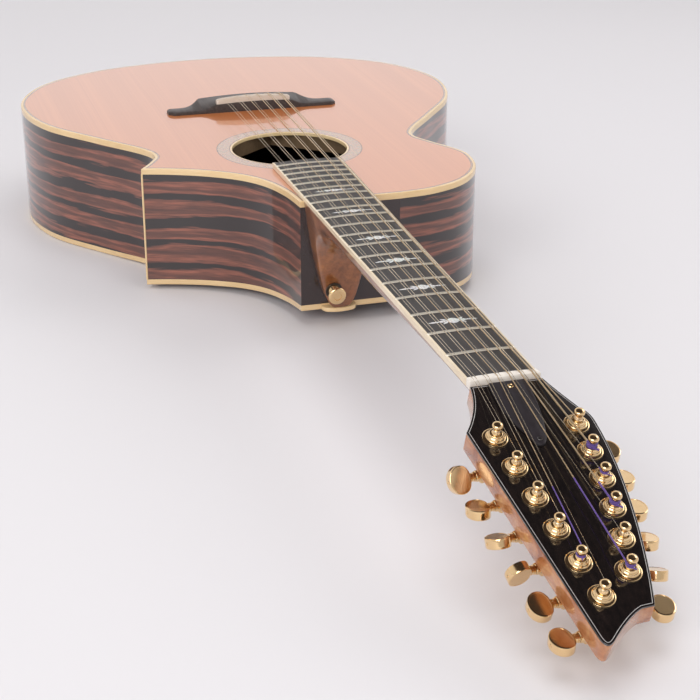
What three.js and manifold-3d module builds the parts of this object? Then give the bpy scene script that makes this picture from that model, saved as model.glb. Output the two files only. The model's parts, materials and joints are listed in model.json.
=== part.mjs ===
// Twelve-string acoustic guitar with a cutaway, a pinless bridge and sealed worm-gear tuners.
// Millimetres, +Z up. The guitar lies on its back: +Y runs from the neck to the tail, and +X is
// the bass side. The origin is on the flat of the back, straight below the end of
// the scale length; the middle of the saddle is about 4 mm behind it.
import * as THREE from 'three';
import { mergeVertices } from 'three/addons/utils/BufferGeometryUtils.js';
import Module from 'manifold-3d';

const wasm = await Module();
wasm.setup();

// ---------- driving dimensions ----------
const SCALE_LENGTH = 647.7;
const FRET_COUNT = 20;
const GAP = 0.3;

const TOP_HEIGHT = 112.57;
const TOP_SLOPE = 0.0124;
const TOP_THICKNESS = 3;
const BACK_THICKNESS = 3;
const BACK_FLAT_END = -30;
const BACK_ARCH_RADIUS = 2580;
const SIDE_THICKNESS = 2.4;
const BINDING_WIDTH = 2.6;
const BINDING_HEIGHT = 5;
const TAIL_Y = 231;
const FRONT_Y = -290;
const FRONT_TREBLE_X = -32;

const HOLE_Y = -136;
const HOLE_RADIUS = 52;
const ROSETTE_INNER = 54;
const ROSETTE_OUTER = 66;

const NUT_Y = -647.76;
const NUT_Z = 102.45;
const NECK_PITCH = Math.atan(0.03);
const NUT_HALF_WIDTH = 23.55;
const HEEL_JOINT = 359.2;
const HEEL_HALF_WIDTH = 29.05;
const BOARD_LENGTH = 454;
const BOARD_NUT_THICKNESS = 5;
const BOARD_THICKNESS = 3.9;
const BOARD_END_THICKNESS = 5.6;
const BOARD_RADIUS = 400;
const BOARD_ON_BODY = 357;
const NECK_TOP = -BOARD_THICKNESS - GAP;
const NECK_NUT_DEPTH = 14;
const NECK_SWELL = 4.8;

const HEAD_ANGLE = THREE.MathUtils.degToRad(17.25);
const HEAD_THICKNESS = 14.8;
const HEAD_PLATE_THICKNESS = 1.6;
const HEAD_START = 2.7;

const TUNERS_PER_SIDE = 6;
const WORM_OFFSET = 6;
const WORM_DEPTH = -22.3;
const WASHER_RADIUS = 7.9;
const SLEEVE_RADIUS = 4.7;
const BORE_RADIUS = 3.25;
const POST_RADIUS = 3;
const WHEEL_RADIUS = 3.6;
const WORM_RADIUS = 2.1;
const ROUND_SEGMENTS = 12;
const SHAFT_SEGMENTS = 8;
// How far each button is turned about its shaft at rest, in degrees: 0 lies flat with the head.
const BUTTON_TURNS = {
  treble: [45, -22, -38, -80, 4, -10],
  bass: [-5, -15, -15, -28, -41, -8],
};

// ---------- materials ----------
const material = (color, roughness, metalness = 0) =>
  new THREE.MeshStandardMaterial({ color, roughness, metalness });
const cedar = material(0xdda27c, 0.2);
const sideWood = material(0x5a322a, 0.15);
const neckWood = material(0x7a3d22, 0.2);
const ebony = material(0x17110f, 0.3);
const cream = material(0xead2a0, 0.3);
const bone = material(0xeee6d6, 0.4);
const pearl = material(0xb9b4ae, 0.25);
const spruce = material(0xd8bd8a, 0.7);
const mahogany = material(0x8a5638, 0.7);
const steel = material(0x9a9a9a, 0.4, 1);
const gold = material(0xd9a441, 0.2, 1);

// ---------- solids ----------
function signedVolume(positions, triangles) {
  let sum = 0;
  const [a, b, c] = [new THREE.Vector3(), new THREE.Vector3(), new THREE.Vector3()];
  for (let i = 0; i < triangles.length; i += 3) {
    a.fromArray(positions, 3 * triangles[i]);
    b.fromArray(positions, 3 * triangles[i + 1]);
    c.fromArray(positions, 3 * triangles[i + 2]);
    sum += a.dot(b.cross(c));
  }
  return sum / 6;
}

// A closed geometry becomes a manifold solid with its faces pointing out.
function solid(geometry) {
  geometry.deleteAttribute('normal');
  geometry.deleteAttribute('uv');
  const merged = mergeVertices(geometry);
  const positions = merged.attributes.position.array;
  const index = merged.index.array;
  const triangles = [];
  for (let i = 0; i < index.length; i += 3) {
    const [a, b, c] = index.slice(i, i + 3);
    if (a !== b && b !== c && c !== a) triangles.push(a, b, c);
  }
  if (signedVolume(positions, triangles) < 0) triangles.reverse();
  return new wasm.Manifold(
    new wasm.Mesh({
      numProp: 3,
      vertProperties: new Float32Array(positions),
      triVerts: new Uint32Array(triangles),
    }),
  );
}

function geometryOf(body) {
  const mesh = body.getMesh();
  const geometry = new THREE.BufferGeometry();
  geometry.setAttribute('position', new THREE.BufferAttribute(mesh.vertProperties, 3));
  geometry.setIndex(new THREE.BufferAttribute(mesh.triVerts, 1));
  return geometry;
}

function addPart(parent, name, body, finish) {
  const mesh = new THREE.Mesh(geometryOf(body), finish);
  mesh.name = name;
  parent.add(mesh);
}

// A plan shape in X and Y, raised from low to high.
function plate(shape, low, high, segments = 6) {
  const options = { depth: high - low, bevelEnabled: false, curveSegments: segments };
  return solid(new THREE.ExtrudeGeometry(shape, options).translate(0, 0, low));
}

// A shape in Y and Z, drawn out along X from low to high.
function acrossX(shape, low, high) {
  const geometry = new THREE.ExtrudeGeometry(shape, { depth: high - low, bevelEnabled: false });
  const toYZ = new THREE.Matrix4().set(0, 0, 1, low, 1, 0, 0, 0, 0, 1, 0, 0, 0, 0, 0, 1);
  return solid(geometry.applyMatrix4(toYZ));
}

// A shape in X and Z, drawn out along Y from low to high.
function alongY(shape, low, high, segments = 6) {
  const options = { depth: high - low, bevelEnabled: false, curveSegments: segments };
  const geometry = new THREE.ExtrudeGeometry(shape, options);
  const toXZ = new THREE.Matrix4().set(1, 0, 0, 0, 0, 0, 1, low, 0, 1, 0, 0, 0, 0, 0, 1);
  return solid(geometry.applyMatrix4(toXZ));
}

function box(x0, x1, y0, y1, z0, z1) {
  const geometry = new THREE.BoxGeometry(x1 - x0, y1 - y0, z1 - z0);
  return solid(geometry.translate((x0 + x1) / 2, (y0 + y1) / 2, (z0 + z1) / 2));
}

const points2 = (pairs) => pairs.map(([x, y]) => new THREE.Vector2(x, y));
const polygon = (pairs) => new THREE.Shape(points2(pairs));

// A profile of radius and height, turned about Z.
function turned(profile, segments = ROUND_SEGMENTS) {
  return solid(new THREE.LatheGeometry(points2(profile), segments).rotateX(Math.PI / 2));
}

function cylinder(radius, low, high, segments = ROUND_SEGMENTS) {
  return turned([[0, low], [radius, low], [radius, high], [0, high]], segments);
}

function circle(radius, x = 0, y = 0) {
  return new THREE.Shape().absarc(x, y, radius, 0, 2 * Math.PI);
}

function ringShape(inner, outer, x, y) {
  const shape = circle(outer, x, y);
  shape.holes.push(circle(inner, x, y));
  return shape;
}

// ---------- body outline ----------
// One side of the lower bout from the waist to the tail; the other side mirrors it.
const LOWER_BOUT = [[122, -127], [130, -103], [164, -56.5], [202, 0], [217.5, 60], [211, 114],
  [181, 167], [126, 206], [63, 225]];
const BASS_UPPER_BOUT = [[54, -290], [86, -285], [118, -268], [141, -238], [149, -204],
  [146, -182], [131, -151]];
const TREBLE_TO_HORN = [[-129, -145.5], [-140.5, -163.8]];
const CUTAWAY = [[-140.5, -163.8], [-118, -171], [-90, -184], [-63, -203.5], [-46, -227],
  [-36, -258], [FRONT_TREBLE_X, FRONT_Y]];
const MAIN_CURVE_STEPS = 58;
const CUTAWAY_STEPS = 10;

const mirroredBout = LOWER_BOUT.map(([x, y]) => [-x, y]).reverse();
const mainCurve = new THREE.SplineCurve(points2([
  ...BASS_UPPER_BOUT, ...LOWER_BOUT, [0, TAIL_Y], ...mirroredBout, ...TREBLE_TO_HORN,
]));
const cutawayCurve = new THREE.SplineCurve(points2(CUTAWAY));
const outline = [
  new THREE.Vector2(FRONT_TREBLE_X, FRONT_Y),
  ...mainCurve.getSpacedPoints(MAIN_CURVE_STEPS),
  ...cutawayCurve.getSpacedPoints(CUTAWAY_STEPS).slice(1, -1),
];
const hornIndex = MAIN_CURVE_STEPS + 1;
const tailIndex = outline.reduce((best, p, i) => (p.y > outline[best].y ? i : best), 0);

// The outline moved inward by a distance, point for point, with mitred corners.
function inset(distance) {
  return outline.map((point, i) => {
    const before = outline[(i + outline.length - 1) % outline.length];
    const after = outline[(i + 1) % outline.length];
    const arriving = point.clone().sub(before).normalize();
    const leaving = after.clone().sub(point).normalize();
    const normal = new THREE.Vector2(-arriving.y - leaving.y, arriving.x + leaving.x).normalize();
    const stretch = Math.max(0.35, -normal.x * arriving.y + normal.y * arriving.x);
    return point.clone().addScaledVector(normal, distance / stretch);
  });
}

function band(outerInset, innerInset) {
  const shape = new THREE.Shape(inset(outerInset));
  shape.holes.push(new THREE.Path(inset(innerInset)));
  return shape;
}

// The stretch of rim from one outline point to another, cut 0.3 mm short at each end.
function rimStrip(first, last) {
  const trim = (points) => {
    const run = points.concat(points[0]).slice(first, last + 1);
    const start = run[0].clone().sub(run[1]).setLength(GAP);
    const end = run.at(-1).clone().sub(run.at(-2)).setLength(GAP);
    run[0] = run[0].clone().sub(start);
    run[run.length - 1] = run.at(-1).clone().sub(end);
    return run;
  };
  const outer = trim(inset(0));
  const inner = trim(inset(SIDE_THICKNESS));
  return new THREE.Shape([...outer, ...inner.reverse()]);
}

const topAt = (y) => TOP_HEIGHT + TOP_SLOPE * y;
const backAt = (y) => Math.max(0, BACK_FLAT_END - y) ** 2 / (2 * BACK_ARCH_RADIUS);
const ARCH_STATIONS = [-310, -250, -190, -130, -80, BACK_FLAT_END, 250];

// Everything between two heights that vary along Y.
function layer(lowAt, highAt) {
  const lower = ARCH_STATIONS.map((y) => [y, lowAt(y)]);
  const upper = ARCH_STATIONS.map((y) => [y, highAt(y)]).reverse();
  return acrossX(polygon([...lower, ...upper]), -250, 250);
}

const nearTop = (upper, lower) => layer((y) => topAt(y) - lower, (y) => topAt(y) - upper);
const nearBack = (lower, upper) => layer((y) => backAt(y) + lower, (y) => backAt(y) + upper);
const tall = (shape, segments) => plate(shape, -10, 140, segments);

// ---------- body ----------
function buildSoundboard() {
  const shape = new THREE.Shape(inset(BINDING_WIDTH + GAP));
  shape.holes.push(circle(HOLE_RADIUS, 0, HOLE_Y));
  const channel = tall(ringShape(ROSETTE_INNER, ROSETTE_OUTER, 0, HOLE_Y), 12);
  const channelDepth = 1.5;
  return tall(shape, 12)
    .intersect(nearTop(0, TOP_THICKNESS))
    .subtract(channel.intersect(nearTop(-1, channelDepth)));
}

function buildRosette() {
  const ring = ringShape(ROSETTE_INNER + GAP, ROSETTE_OUTER - GAP, 0, HOLE_Y);
  const thickness = 1.2;
  return tall(ring, 12).intersect(nearTop(0, thickness));
}

function buildSide(first, last) {
  const clearance = BINDING_HEIGHT + GAP;
  const height = layer((y) => backAt(y) + clearance, (y) => topAt(y) - clearance);
  return tall(rimStrip(first, last)).intersect(height);
}

function insidePlates(shape) {
  const inner = new THREE.Shape(inset(SIDE_THICKNESS + GAP));
  const between = layer(
    (y) => backAt(y) + BACK_THICKNESS + GAP,
    (y) => topAt(y) - TOP_THICKNESS - GAP,
  );
  return tall(shape).intersect(tall(inner)).intersect(between);
}

function buildBody(root) {
  addPart(root, 'soundboard', buildSoundboard(), cedar);
  addPart(root, 'rosette', buildRosette(), pearl);
  const backPlan = new THREE.Shape(inset(BINDING_WIDTH + GAP));
  addPart(root, 'back', tall(backPlan).intersect(nearBack(0, BACK_THICKNESS)), sideWood);

  addPart(root, 'side_bass', buildSide(0, tailIndex), sideWood);
  addPart(root, 'side_treble', buildSide(tailIndex, hornIndex), sideWood);
  addPart(root, 'side_cutaway', buildSide(hornIndex, outline.length), sideWood);

  const binding = tall(band(0, BINDING_WIDTH));
  addPart(root, 'top_binding', binding.intersect(nearTop(0, BINDING_HEIGHT)), cream);
  addPart(root, 'back_binding', binding.intersect(nearBack(0, BINDING_HEIGHT)), cream);

  const neckBlockPlan = polygon([[-26, FRONT_Y], [46, FRONT_Y], [46, -226], [-26, -226]]);
  addPart(root, 'neck_block', insidePlates(neckBlockPlan), mahogany);
  const tailBlockPlan = polygon([[-42, 194], [42, 194], [42, TAIL_Y], [-42, TAIL_Y]]);
  addPart(root, 'tail_block', insidePlates(tailBlockPlan), mahogany);
}

// ---------- braces ----------
const BRACE_WIDTH = 8;
const BRACE_DEPTH = 13;
const X_CROSSING_Y = -62;
const X_ANGLE = THREE.MathUtils.degToRad(40);
const BRACE_END_INSET = 7;
const BACK_BRACE_STATIONS = [-215, -95, 30, 130];

function bar(length, width, angle, x, y) {
  const geometry = new THREE.BoxGeometry(length, width, 200);
  return solid(geometry.rotateZ(angle).translate(x, y, 60));
}

function buildXBrace() {
  const reach = 480;
  const cross = bar(reach, BRACE_WIDTH, X_ANGLE, 0, X_CROSSING_Y)
    .add(bar(reach, BRACE_WIDTH, -X_ANGLE, 0, X_CROSSING_Y));
  const window = box(-250, 250, -185, 95, 0, 140);
  const clearOfTop = TOP_THICKNESS + GAP;
  return cross
    .intersect(window)
    .intersect(tall(new THREE.Shape(inset(BRACE_END_INSET))))
    .intersect(nearTop(clearOfTop, clearOfTop + BRACE_DEPTH));
}

function buildBackBracing() {
  const stripWidth = 14;
  const stripThickness = 2.5;
  const base = BACK_THICKNESS + GAP;
  const strip = bar(stripWidth, 400, 0, 0, -16).intersect(nearBack(base, base + stripThickness));
  const crossBars = BACK_BRACE_STATIONS.map((y) => bar(500, BRACE_WIDTH, 0, 0, y))
    .reduce((joined, next) => joined.add(next))
    .intersect(nearBack(base, base + BRACE_DEPTH));
  return strip.add(crossBars).intersect(tall(new THREE.Shape(inset(BRACE_END_INSET))));
}

// ---------- bridge ----------
const BRIDGE_FRONT = 0.2;
const BRIDGE_REAR = 34.5;
const BRIDGE_WING_REAR = 17.5;
const BRIDGE_BLOCK_HALF = 49;
const BRIDGE_HALF = 84;
const BRIDGE_HEIGHT = 9.2;
const BRIDGE_SHOULDER_HEIGHT = 7;
const WING_HEIGHT = 3.2;
const SADDLE_HALF = 36.8;
const SADDLE_FRONT = 1.5;
const SADDLE_REAR = 7.1;
const SADDLE_TOP = 15;
const SADDLE_RADIUS = 280;
const SADDLE_SEAT = 4;

function bridgePlan() {
  const shape = new THREE.Shape();
  shape.moveTo(-BRIDGE_HALF + 6, BRIDGE_FRONT);
  shape.lineTo(BRIDGE_HALF - 4, BRIDGE_FRONT);
  shape.lineTo(BRIDGE_HALF, BRIDGE_WING_REAR);
  shape.quadraticCurveTo(58, BRIDGE_WING_REAR, BRIDGE_BLOCK_HALF, BRIDGE_REAR);
  shape.lineTo(-BRIDGE_BLOCK_HALF, BRIDGE_REAR);
  shape.quadraticCurveTo(-58, BRIDGE_WING_REAR, -BRIDGE_HALF, BRIDGE_WING_REAR);
  shape.closePath();
  return shape;
}

function bridgeElevation() {
  const shape = new THREE.Shape();
  shape.moveTo(-BRIDGE_HALF, GAP);
  shape.lineTo(BRIDGE_HALF, GAP);
  shape.lineTo(BRIDGE_HALF, WING_HEIGHT);
  shape.quadraticCurveTo(56, WING_HEIGHT, BRIDGE_BLOCK_HALF, BRIDGE_SHOULDER_HEIGHT);
  const crownControl = 2 * BRIDGE_HEIGHT - BRIDGE_SHOULDER_HEIGHT;
  shape.quadraticCurveTo(0, crownControl, -BRIDGE_BLOCK_HALF, BRIDGE_SHOULDER_HEIGHT);
  shape.quadraticCurveTo(-56, WING_HEIGHT, -BRIDGE_HALF, WING_HEIGHT);
  shape.closePath();
  return shape;
}

// A strip whose upper edge is crowned, seen along the strings.
function crowned(halfWidth, bottom, top, radius = BOARD_RADIUS) {
  const steps = 4;
  const crown = Array.from({ length: steps + 1 }, (_, i) => {
    const x = halfWidth * (1 - (2 * i) / steps);
    return [x, top - (x * x) / (2 * radius)];
  });
  return polygon([[-halfWidth, bottom], [halfWidth, bottom], ...crown]);
}

function buildBridge(parent) {
  const slot = box(-SADDLE_HALF - GAP, SADDLE_HALF + GAP, SADDLE_FRONT - GAP, SADDLE_REAR + GAP,
    SADDLE_SEAT, 20);
  const bridge = plate(bridgePlan(), 0, 20)
    .intersect(alongY(bridgeElevation(), BRIDGE_FRONT, BRIDGE_REAR))
    .subtract(slot);
  addPart(parent, 'bridge', bridge, ebony);
  const saddleShape = crowned(SADDLE_HALF, SADDLE_SEAT + GAP, SADDLE_TOP, SADDLE_RADIUS);
  addPart(parent, 'saddle', alongY(saddleShape, SADDLE_FRONT, SADDLE_REAR), bone);
  const plateTop = -TOP_THICKNESS - GAP;
  const bridgePlate = box(-44, 44, BRIDGE_FRONT, BRIDGE_REAR, plateTop - 2.5, plateTop);
  addPart(parent, 'bridge_plate', bridgePlate, mahogany);
}

// ---------- neck, in the neck's frame: Y from the nut along the strings, Z = 0 on the board ----------
const SHAFT_END = -6.6;
const HEEL_BOTTOM = -96;
const HEEL_TOE = 346;
const ROD_RADIUS = 3;
const ROD_Z = -11;

const boardHalfWidth = (y) =>
  NUT_HALF_WIDTH + ((HEEL_HALF_WIDTH - NUT_HALF_WIDTH) * y) / HEEL_JOINT;
// The fingerboard thins from the nut to the body.
const boardBottomAt = (y) =>
  -BOARD_NUT_THICKNESS - ((BOARD_THICKNESS - BOARD_NUT_THICKNESS) * y) / BOARD_ON_BODY;
// The front of the body, seen from the neck's frame, less the joint's gap.
const heelBackAt = (z) => 357.3 + 0.03 * (z - NECK_TOP);

// A ring of the neck's round back at one station.
function shaftSection(y) {
  const steps = 10;
  const depth = NECK_NUT_DEPTH + (NECK_SWELL * y) / HEEL_JOINT;
  return Array.from({ length: steps + 1 }, (_, i) => {
    const turn = (Math.PI * i) / steps;
    const x = boardHalfWidth(y) * Math.cos(turn);
    return new THREE.Vector3(x, y, boardBottomAt(y) - GAP - depth * Math.sin(turn) ** 0.8);
  });
}

// A closed solid through a row of rings with equal point counts.
function loft(rings) {
  const count = rings[0].length;
  const positions = rings.flat().flatMap((p) => [p.x, p.y, p.z]);
  const index = [];
  for (let r = 0; r + 1 < rings.length; r += 1) {
    for (let i = 0; i < count; i += 1) {
      const a = r * count + i;
      const b = r * count + ((i + 1) % count);
      index.push(a, b, b + count, a, b + count, a + count);
    }
  }
  const last = (rings.length - 1) * count;
  for (let i = 1; i + 1 < count; i += 1) {
    index.push(0, i + 1, i, last, last + i, last + i + 1);
  }
  const geometry = new THREE.BufferGeometry();
  geometry.setAttribute('position', new THREE.Float32BufferAttribute(positions, 3));
  geometry.setIndex(index);
  return solid(geometry);
}

function buildHeel() {
  const side = new THREE.Shape();
  side.moveTo(heelBackAt(NECK_TOP), NECK_TOP);
  side.lineTo(280, NECK_TOP);
  side.lineTo(280, -20);
  side.bezierCurveTo(322, -24, 336, -34, 343, -62);
  side.lineTo(HEEL_TOE, HEEL_BOTTOM);
  side.lineTo(heelBackAt(HEEL_BOTTOM), HEEL_BOTTOM);
  side.closePath();
  const front = new THREE.Shape();
  front.moveTo(-29, NECK_TOP);
  front.quadraticCurveTo(-23, -50, -15, HEEL_BOTTOM);
  front.lineTo(15, HEEL_BOTTOM);
  front.quadraticCurveTo(23, -50, 29, NECK_TOP);
  front.closePath();
  return acrossX(side, -35, 35).intersect(alongY(front, 270, 370));
}

// The head's outline in its own frame: x across, s from the nut towards the tip.
function headOutline() {
  const shape = new THREE.Shape();
  shape.moveTo(-23.8, HEAD_START);
  shape.quadraticCurveTo(-25.5, 22, -39.4, 40.5);
  shape.lineTo(-21, 198.5);
  shape.quadraticCurveTo(-19.8, 208.5, -13.3, 202.8);
  shape.quadraticCurveTo(1.5, 188.5, 10.5, 185.3);
  shape.lineTo(18.1, 184.9);
  shape.bezierCurveTo(34, 139, 43.6, 82, 42, 44);
  shape.quadraticCurveTo(41.8, 37, 37, 32);
  shape.quadraticCurveTo(29, 16, 24, HEAD_START);
  shape.closePath();
  return shape;
}

// A head shape drawn with s towards the tip, laid into the head's frame, where the tip is at -Y.
function headPlate(shape, low, high, segments) {
  const body = plate(shape, low, high, segments);
  return body.mirror([0, 1, 0]);
}

const TREBLE_ROW = { first: [-24.2, 48.3], step: [3.1, 25.1] };
const BASS_ROW = { firstS: 46, stepS: 22.83, x: 29.15, bend: 0.00128, bendFrom: 48 };

// Where each post stands on the head, and the way out to its button, both as x and s.
function tunerPlaces() {
  const places = [];
  for (let i = 0; i < TUNERS_PER_SIDE; i += 1) {
    const { first, step } = TREBLE_ROW;
    const along = new THREE.Vector2(...step).normalize();
    places.push({
      name: `treble_${i + 1}`,
      side: -1,
      at: new THREE.Vector2(first[0] + i * step[0], first[1] + i * step[1]),
      outward: new THREE.Vector2(-along.y, along.x),
      turn: BUTTON_TURNS.treble[i],
    });
    const s = BASS_ROW.firstS + i * BASS_ROW.stepS;
    const past = s - BASS_ROW.bendFrom;
    places.push({
      name: `bass_${i + 1}`,
      side: 1,
      at: new THREE.Vector2(BASS_ROW.x - BASS_ROW.bend * past * past, s),
      outward: new THREE.Vector2(1, 2 * BASS_ROW.bend * past).normalize(),
      turn: BUTTON_TURNS.bass[i],
    });
  }
  return places;
}

function sleeveHoles(low, high) {
  return tunerPlaces()
    .map(({ at }) => cylinder(SLEEVE_RADIUS + 0.4, low, high).translate([at.x, -at.y, 0]))
    .reduce((joined, next) => joined.add(next));
}

const headMatrix = new THREE.Matrix4()
  .makeRotationX(HEAD_ANGLE)
  .setPosition(0, -5, -1.2);

// Everything that the truss rod needs cut away, in the neck's frame.
function rodChannel() {
  const half = ROD_RADIUS + 0.4;
  const channel = box(-half, half, -10, 336, ROD_Z - half, 0);
  const pocket = box(-5, 5, -26, -6.6, -17, 5);
  return channel.add(pocket);
}

function buildNeck(neckFrame) {
  const shaft = loft([SHAFT_END, 100, 210, 320].map(shaftSection));
  const block = headPlate(headOutline(), -HEAD_THICKNESS, -HEAD_PLATE_THICKNESS - GAP)
    .subtract(sleeveHoles(-30, 10))
    .transform(headMatrix.elements);
  const neck = shaft.add(buildHeel()).add(block).subtract(rodChannel());
  addPart(neckFrame, 'neck', neck, neckWood);

  const rod = new THREE.CylinderGeometry(ROD_RADIUS, ROD_RADIUS, 350, SHAFT_SEGMENTS);
  addPart(neckFrame, 'truss_rod', solid(rod.translate(0, 158, ROD_Z)), steel);

  const capBack = heelBackAt(HEEL_BOTTOM) - GAP;
  const capPlan = new THREE.Shape();
  capPlan.moveTo(-15.5, capBack);
  capPlan.lineTo(15.5, capBack);
  capPlan.quadraticCurveTo(13, HEEL_TOE - 2, 6, HEEL_TOE - 1);
  capPlan.lineTo(-6, HEEL_TOE - 1);
  capPlan.quadraticCurveTo(-13, HEEL_TOE - 2, -15.5, capBack);
  const capTop = HEEL_BOTTOM - GAP;
  addPart(neckFrame, 'heel_cap', plate(capPlan, capTop - 3.5, capTop, 4), cream);
}

function fretDistance(number) {
  return SCALE_LENGTH * (1 - 2 ** (-number / 12));
}

function buildFingerboard(neckFrame) {
  const farHalf = boardHalfWidth(BOARD_LENGTH);
  const taper = (start, end, extra) => polygon([
    [-boardHalfWidth(start) - extra, start],
    [boardHalfWidth(start) + extra, start],
    [boardHalfWidth(end) + extra, end],
    [-boardHalfWidth(end) - extra, end],
  ]);
  // The underside drops along the sloping soundboard past the heel joint.
  const underside = acrossX(
    polygon([
      [0, -BOARD_NUT_THICKNESS],
      [BOARD_ON_BODY, -BOARD_THICKNESS],
      [BOARD_LENGTH, -BOARD_END_THICKNESS],
      [BOARD_LENGTH, 5],
      [0, 5],
    ]),
    -40,
    40,
  );
  let board = alongY(crowned(farHalf + 2, -9, 0), 0, BOARD_LENGTH)
    .intersect(plate(taper(0, BOARD_LENGTH, 0), -10, 5))
    .intersect(underside);
  const fretWidth = 2.3;
  const fretHeight = 1.1;
  for (let number = 1; number <= FRET_COUNT; number += 1) {
    const y = fretDistance(number);
    const fret = alongY(crowned(farHalf + 2, -1.8, fretHeight), y - fretWidth / 2, y + fretWidth / 2)
      .intersect(plate(taper(y - 2, y + 2, -0.6), -10, 5));
    board = board.add(fret);
  }
  addPart(neckFrame, 'fingerboard', board, ebony);

  const nutTop = 1.8;
  const nut = alongY(crowned(NUT_HALF_WIDTH, -BOARD_NUT_THICKNESS, nutTop), -6, -GAP);
  addPart(neckFrame, 'nut', nut, bone);
}

// ---------- head ----------
function coverOutline() {
  const shape = new THREE.Shape();
  shape.moveTo(-12.6, HEAD_START + 0.6);
  shape.lineTo(12.4, HEAD_START + 0.6);
  shape.quadraticCurveTo(12.5, 32, 6.8, 52);
  shape.bezierCurveTo(6, 62, -3.5, 62, -4.4, 50);
  shape.quadraticCurveTo(-14.2, 32, -12.6, HEAD_START + 0.6);
  return shape;
}

function buildHead(headFrame) {
  const pocket = rodChannel().transform(headMatrix.clone().invert().elements);
  const facing = headPlate(headOutline(), -HEAD_PLATE_THICKNESS, 0)
    .subtract(sleeveHoles(-30, 10))
    .subtract(pocket);
  addPart(headFrame, 'head_plate', facing, ebony);
  const coverThickness = 1.8;
  const cover = headPlate(coverOutline(), GAP, GAP + coverThickness, 4);
  addPart(headFrame, 'truss_rod_cover', cover, ebony);
}

// ---------- tuners ----------
// Each is built in a frame with its post on Z, the head's face at Z = 0, X out to the button and
// Y along the head, with the worm on the side nearer the tip.
function buildHousing(wormY) {
  const mirror = Math.sign(wormY);
  const top = -HEAD_THICKNESS - GAP;
  const bottom = -27;
  const plan = polygon([[-7, -2.5], [-4.8, -5.6], [0, -7], [4.8, -5.6], [7, -2], [7.4, 1.6],
    [10, 2.2], [10, 8.4], [8.8, 9.4], [-5, 9.4], [-7, 7.2]].map(([x, y]) => [x, y * mirror]));
  const bushing = turned([[0, top - 1], [SLEEVE_RADIUS, top - 1], [SLEEVE_RADIUS, GAP],
    [WASHER_RADIUS, GAP], [WASHER_RADIUS, 1.3], [5.2, 2.6], [4.9, 4.4], [4.3, 5], [0, 5]]);
  const bore = cylinder(BORE_RADIUS, -21, 10);
  const wheelRoom = cylinder(WHEEL_RADIUS + 0.6, -25, -19);
  const wormRoom = cylinder(WORM_RADIUS + 0.5, -6, 20, SHAFT_SEGMENTS)
    .rotate([0, 90, 0])
    .translate([0, wormY, WORM_DEPTH]);
  return plate(plan, bottom, top).add(bushing).subtract(bore).subtract(wheelRoom)
    .subtract(wormRoom);
}

function buildPost() {
  return turned([[0, -24.6], [WHEEL_RADIUS, -24.6], [WHEEL_RADIUS, -19.5], [POST_RADIUS, -19.5],
    [POST_RADIUS, 5.8], [2.1, 7.4], [2.6, 8.8], [3.3, 9.6], [3.4, 11.4], [2.2, 12.3],
    [0, 12.3]]);
}

function buttonOutline() {
  const shape = new THREE.Shape();
  shape.moveTo(16, -4);
  shape.bezierCurveTo(18, -8.4, 21, -8.7, 23, -8.7);
  shape.bezierCurveTo(32.7, -8.7, 32.7, 8.7, 23, 8.7);
  shape.bezierCurveTo(21, 8.7, 18, 8.4, 16, 4);
  return shape;
}

function buildButton(wormY, turn) {
  const wormEnd = 4.6;
  const shaft = turned([[0, -wormEnd], [WORM_RADIUS, -wormEnd], [WORM_RADIUS, wormEnd],
    [1.6, wormEnd], [1.6, 10.4], [3.3, 10.4], [3.6, 12.6], [2.9, 15.8], [2.4, 17.4], [0, 17.4]],
  SHAFT_SEGMENTS).rotate([0, 90, 0]);
  const halfThickness = 3.1;
  const knob = plate(buttonOutline(), -halfThickness, halfThickness, 4)
    .rotate([turn, 0, 0]);
  return shaft.add(knob).translate([0, wormY, WORM_DEPTH]);
}

function buildTuner(headFrame, place) {
  const frame = new THREE.Group();
  frame.position.set(place.at.x, -place.at.y, 0);
  frame.rotation.z = Math.atan2(-place.outward.y, place.outward.x);
  headFrame.add(frame);
  // Seen from its own frame, the tip lies at -Y on the bass side and at +Y on the treble side.
  const towardsTip = -place.side;
  const wormY = WORM_OFFSET * towardsTip;
  addPart(frame, `housing_${place.name}`, buildHousing(wormY), gold);
  addPart(frame, `post_${place.name}`, buildPost(), gold);
  addPart(frame, `button_${place.name}`, buildButton(wormY, -towardsTip * place.turn), gold);
}

// ---------- strap buttons ----------
const STRAP_PROFILE = [[0, 0], [5, 0], [5, 1.4], [3.6, 3.2], [3.6, 7], [7.6, 9.6], [7.6, 11],
  [6, 12], [0, 12]];

function buildStrapButtons(root, neckFrame) {
  const heelFace = 344.1;
  const heelButton = turned(STRAP_PROFILE).rotate([95, 0, 0]).translate([-7, heelFace, -79.5]);
  addPart(neckFrame, 'strap_button_heel', heelButton, gold);
  const tailButton = turned(STRAP_PROFILE).rotate([-90, 0, 0]).translate([0, TAIL_Y + GAP, 60]);
  addPart(root, 'strap_button_tail', tailButton, gold);
}

// ---------- assembly ----------
const guitar = new THREE.Group();

const topFrame = new THREE.Group();
topFrame.position.z = TOP_HEIGHT;
topFrame.rotation.x = Math.atan(TOP_SLOPE);
guitar.add(topFrame);

const neckFrame = new THREE.Group();
neckFrame.position.set(0, NUT_Y, NUT_Z);
neckFrame.rotation.x = NECK_PITCH;
guitar.add(neckFrame);

const headFrame = new THREE.Group();
headFrame.applyMatrix4(headMatrix);
neckFrame.add(headFrame);

buildBody(guitar);
addPart(guitar, 'x_brace', buildXBrace(), spruce);
addPart(guitar, 'back_bracing', buildBackBracing(), spruce);
buildBridge(topFrame);
buildNeck(neckFrame);
buildFingerboard(neckFrame);
buildHead(headFrame);
tunerPlaces().forEach((place) => buildTuner(headFrame, place));
buildStrapButtons(guitar, neckFrame);

export default guitar;
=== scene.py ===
import json
import math
import random

import bmesh
import bpy
import numpy as np
from mathutils import Matrix, Vector
from mathutils.geometry import tessellate_polygon


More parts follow.
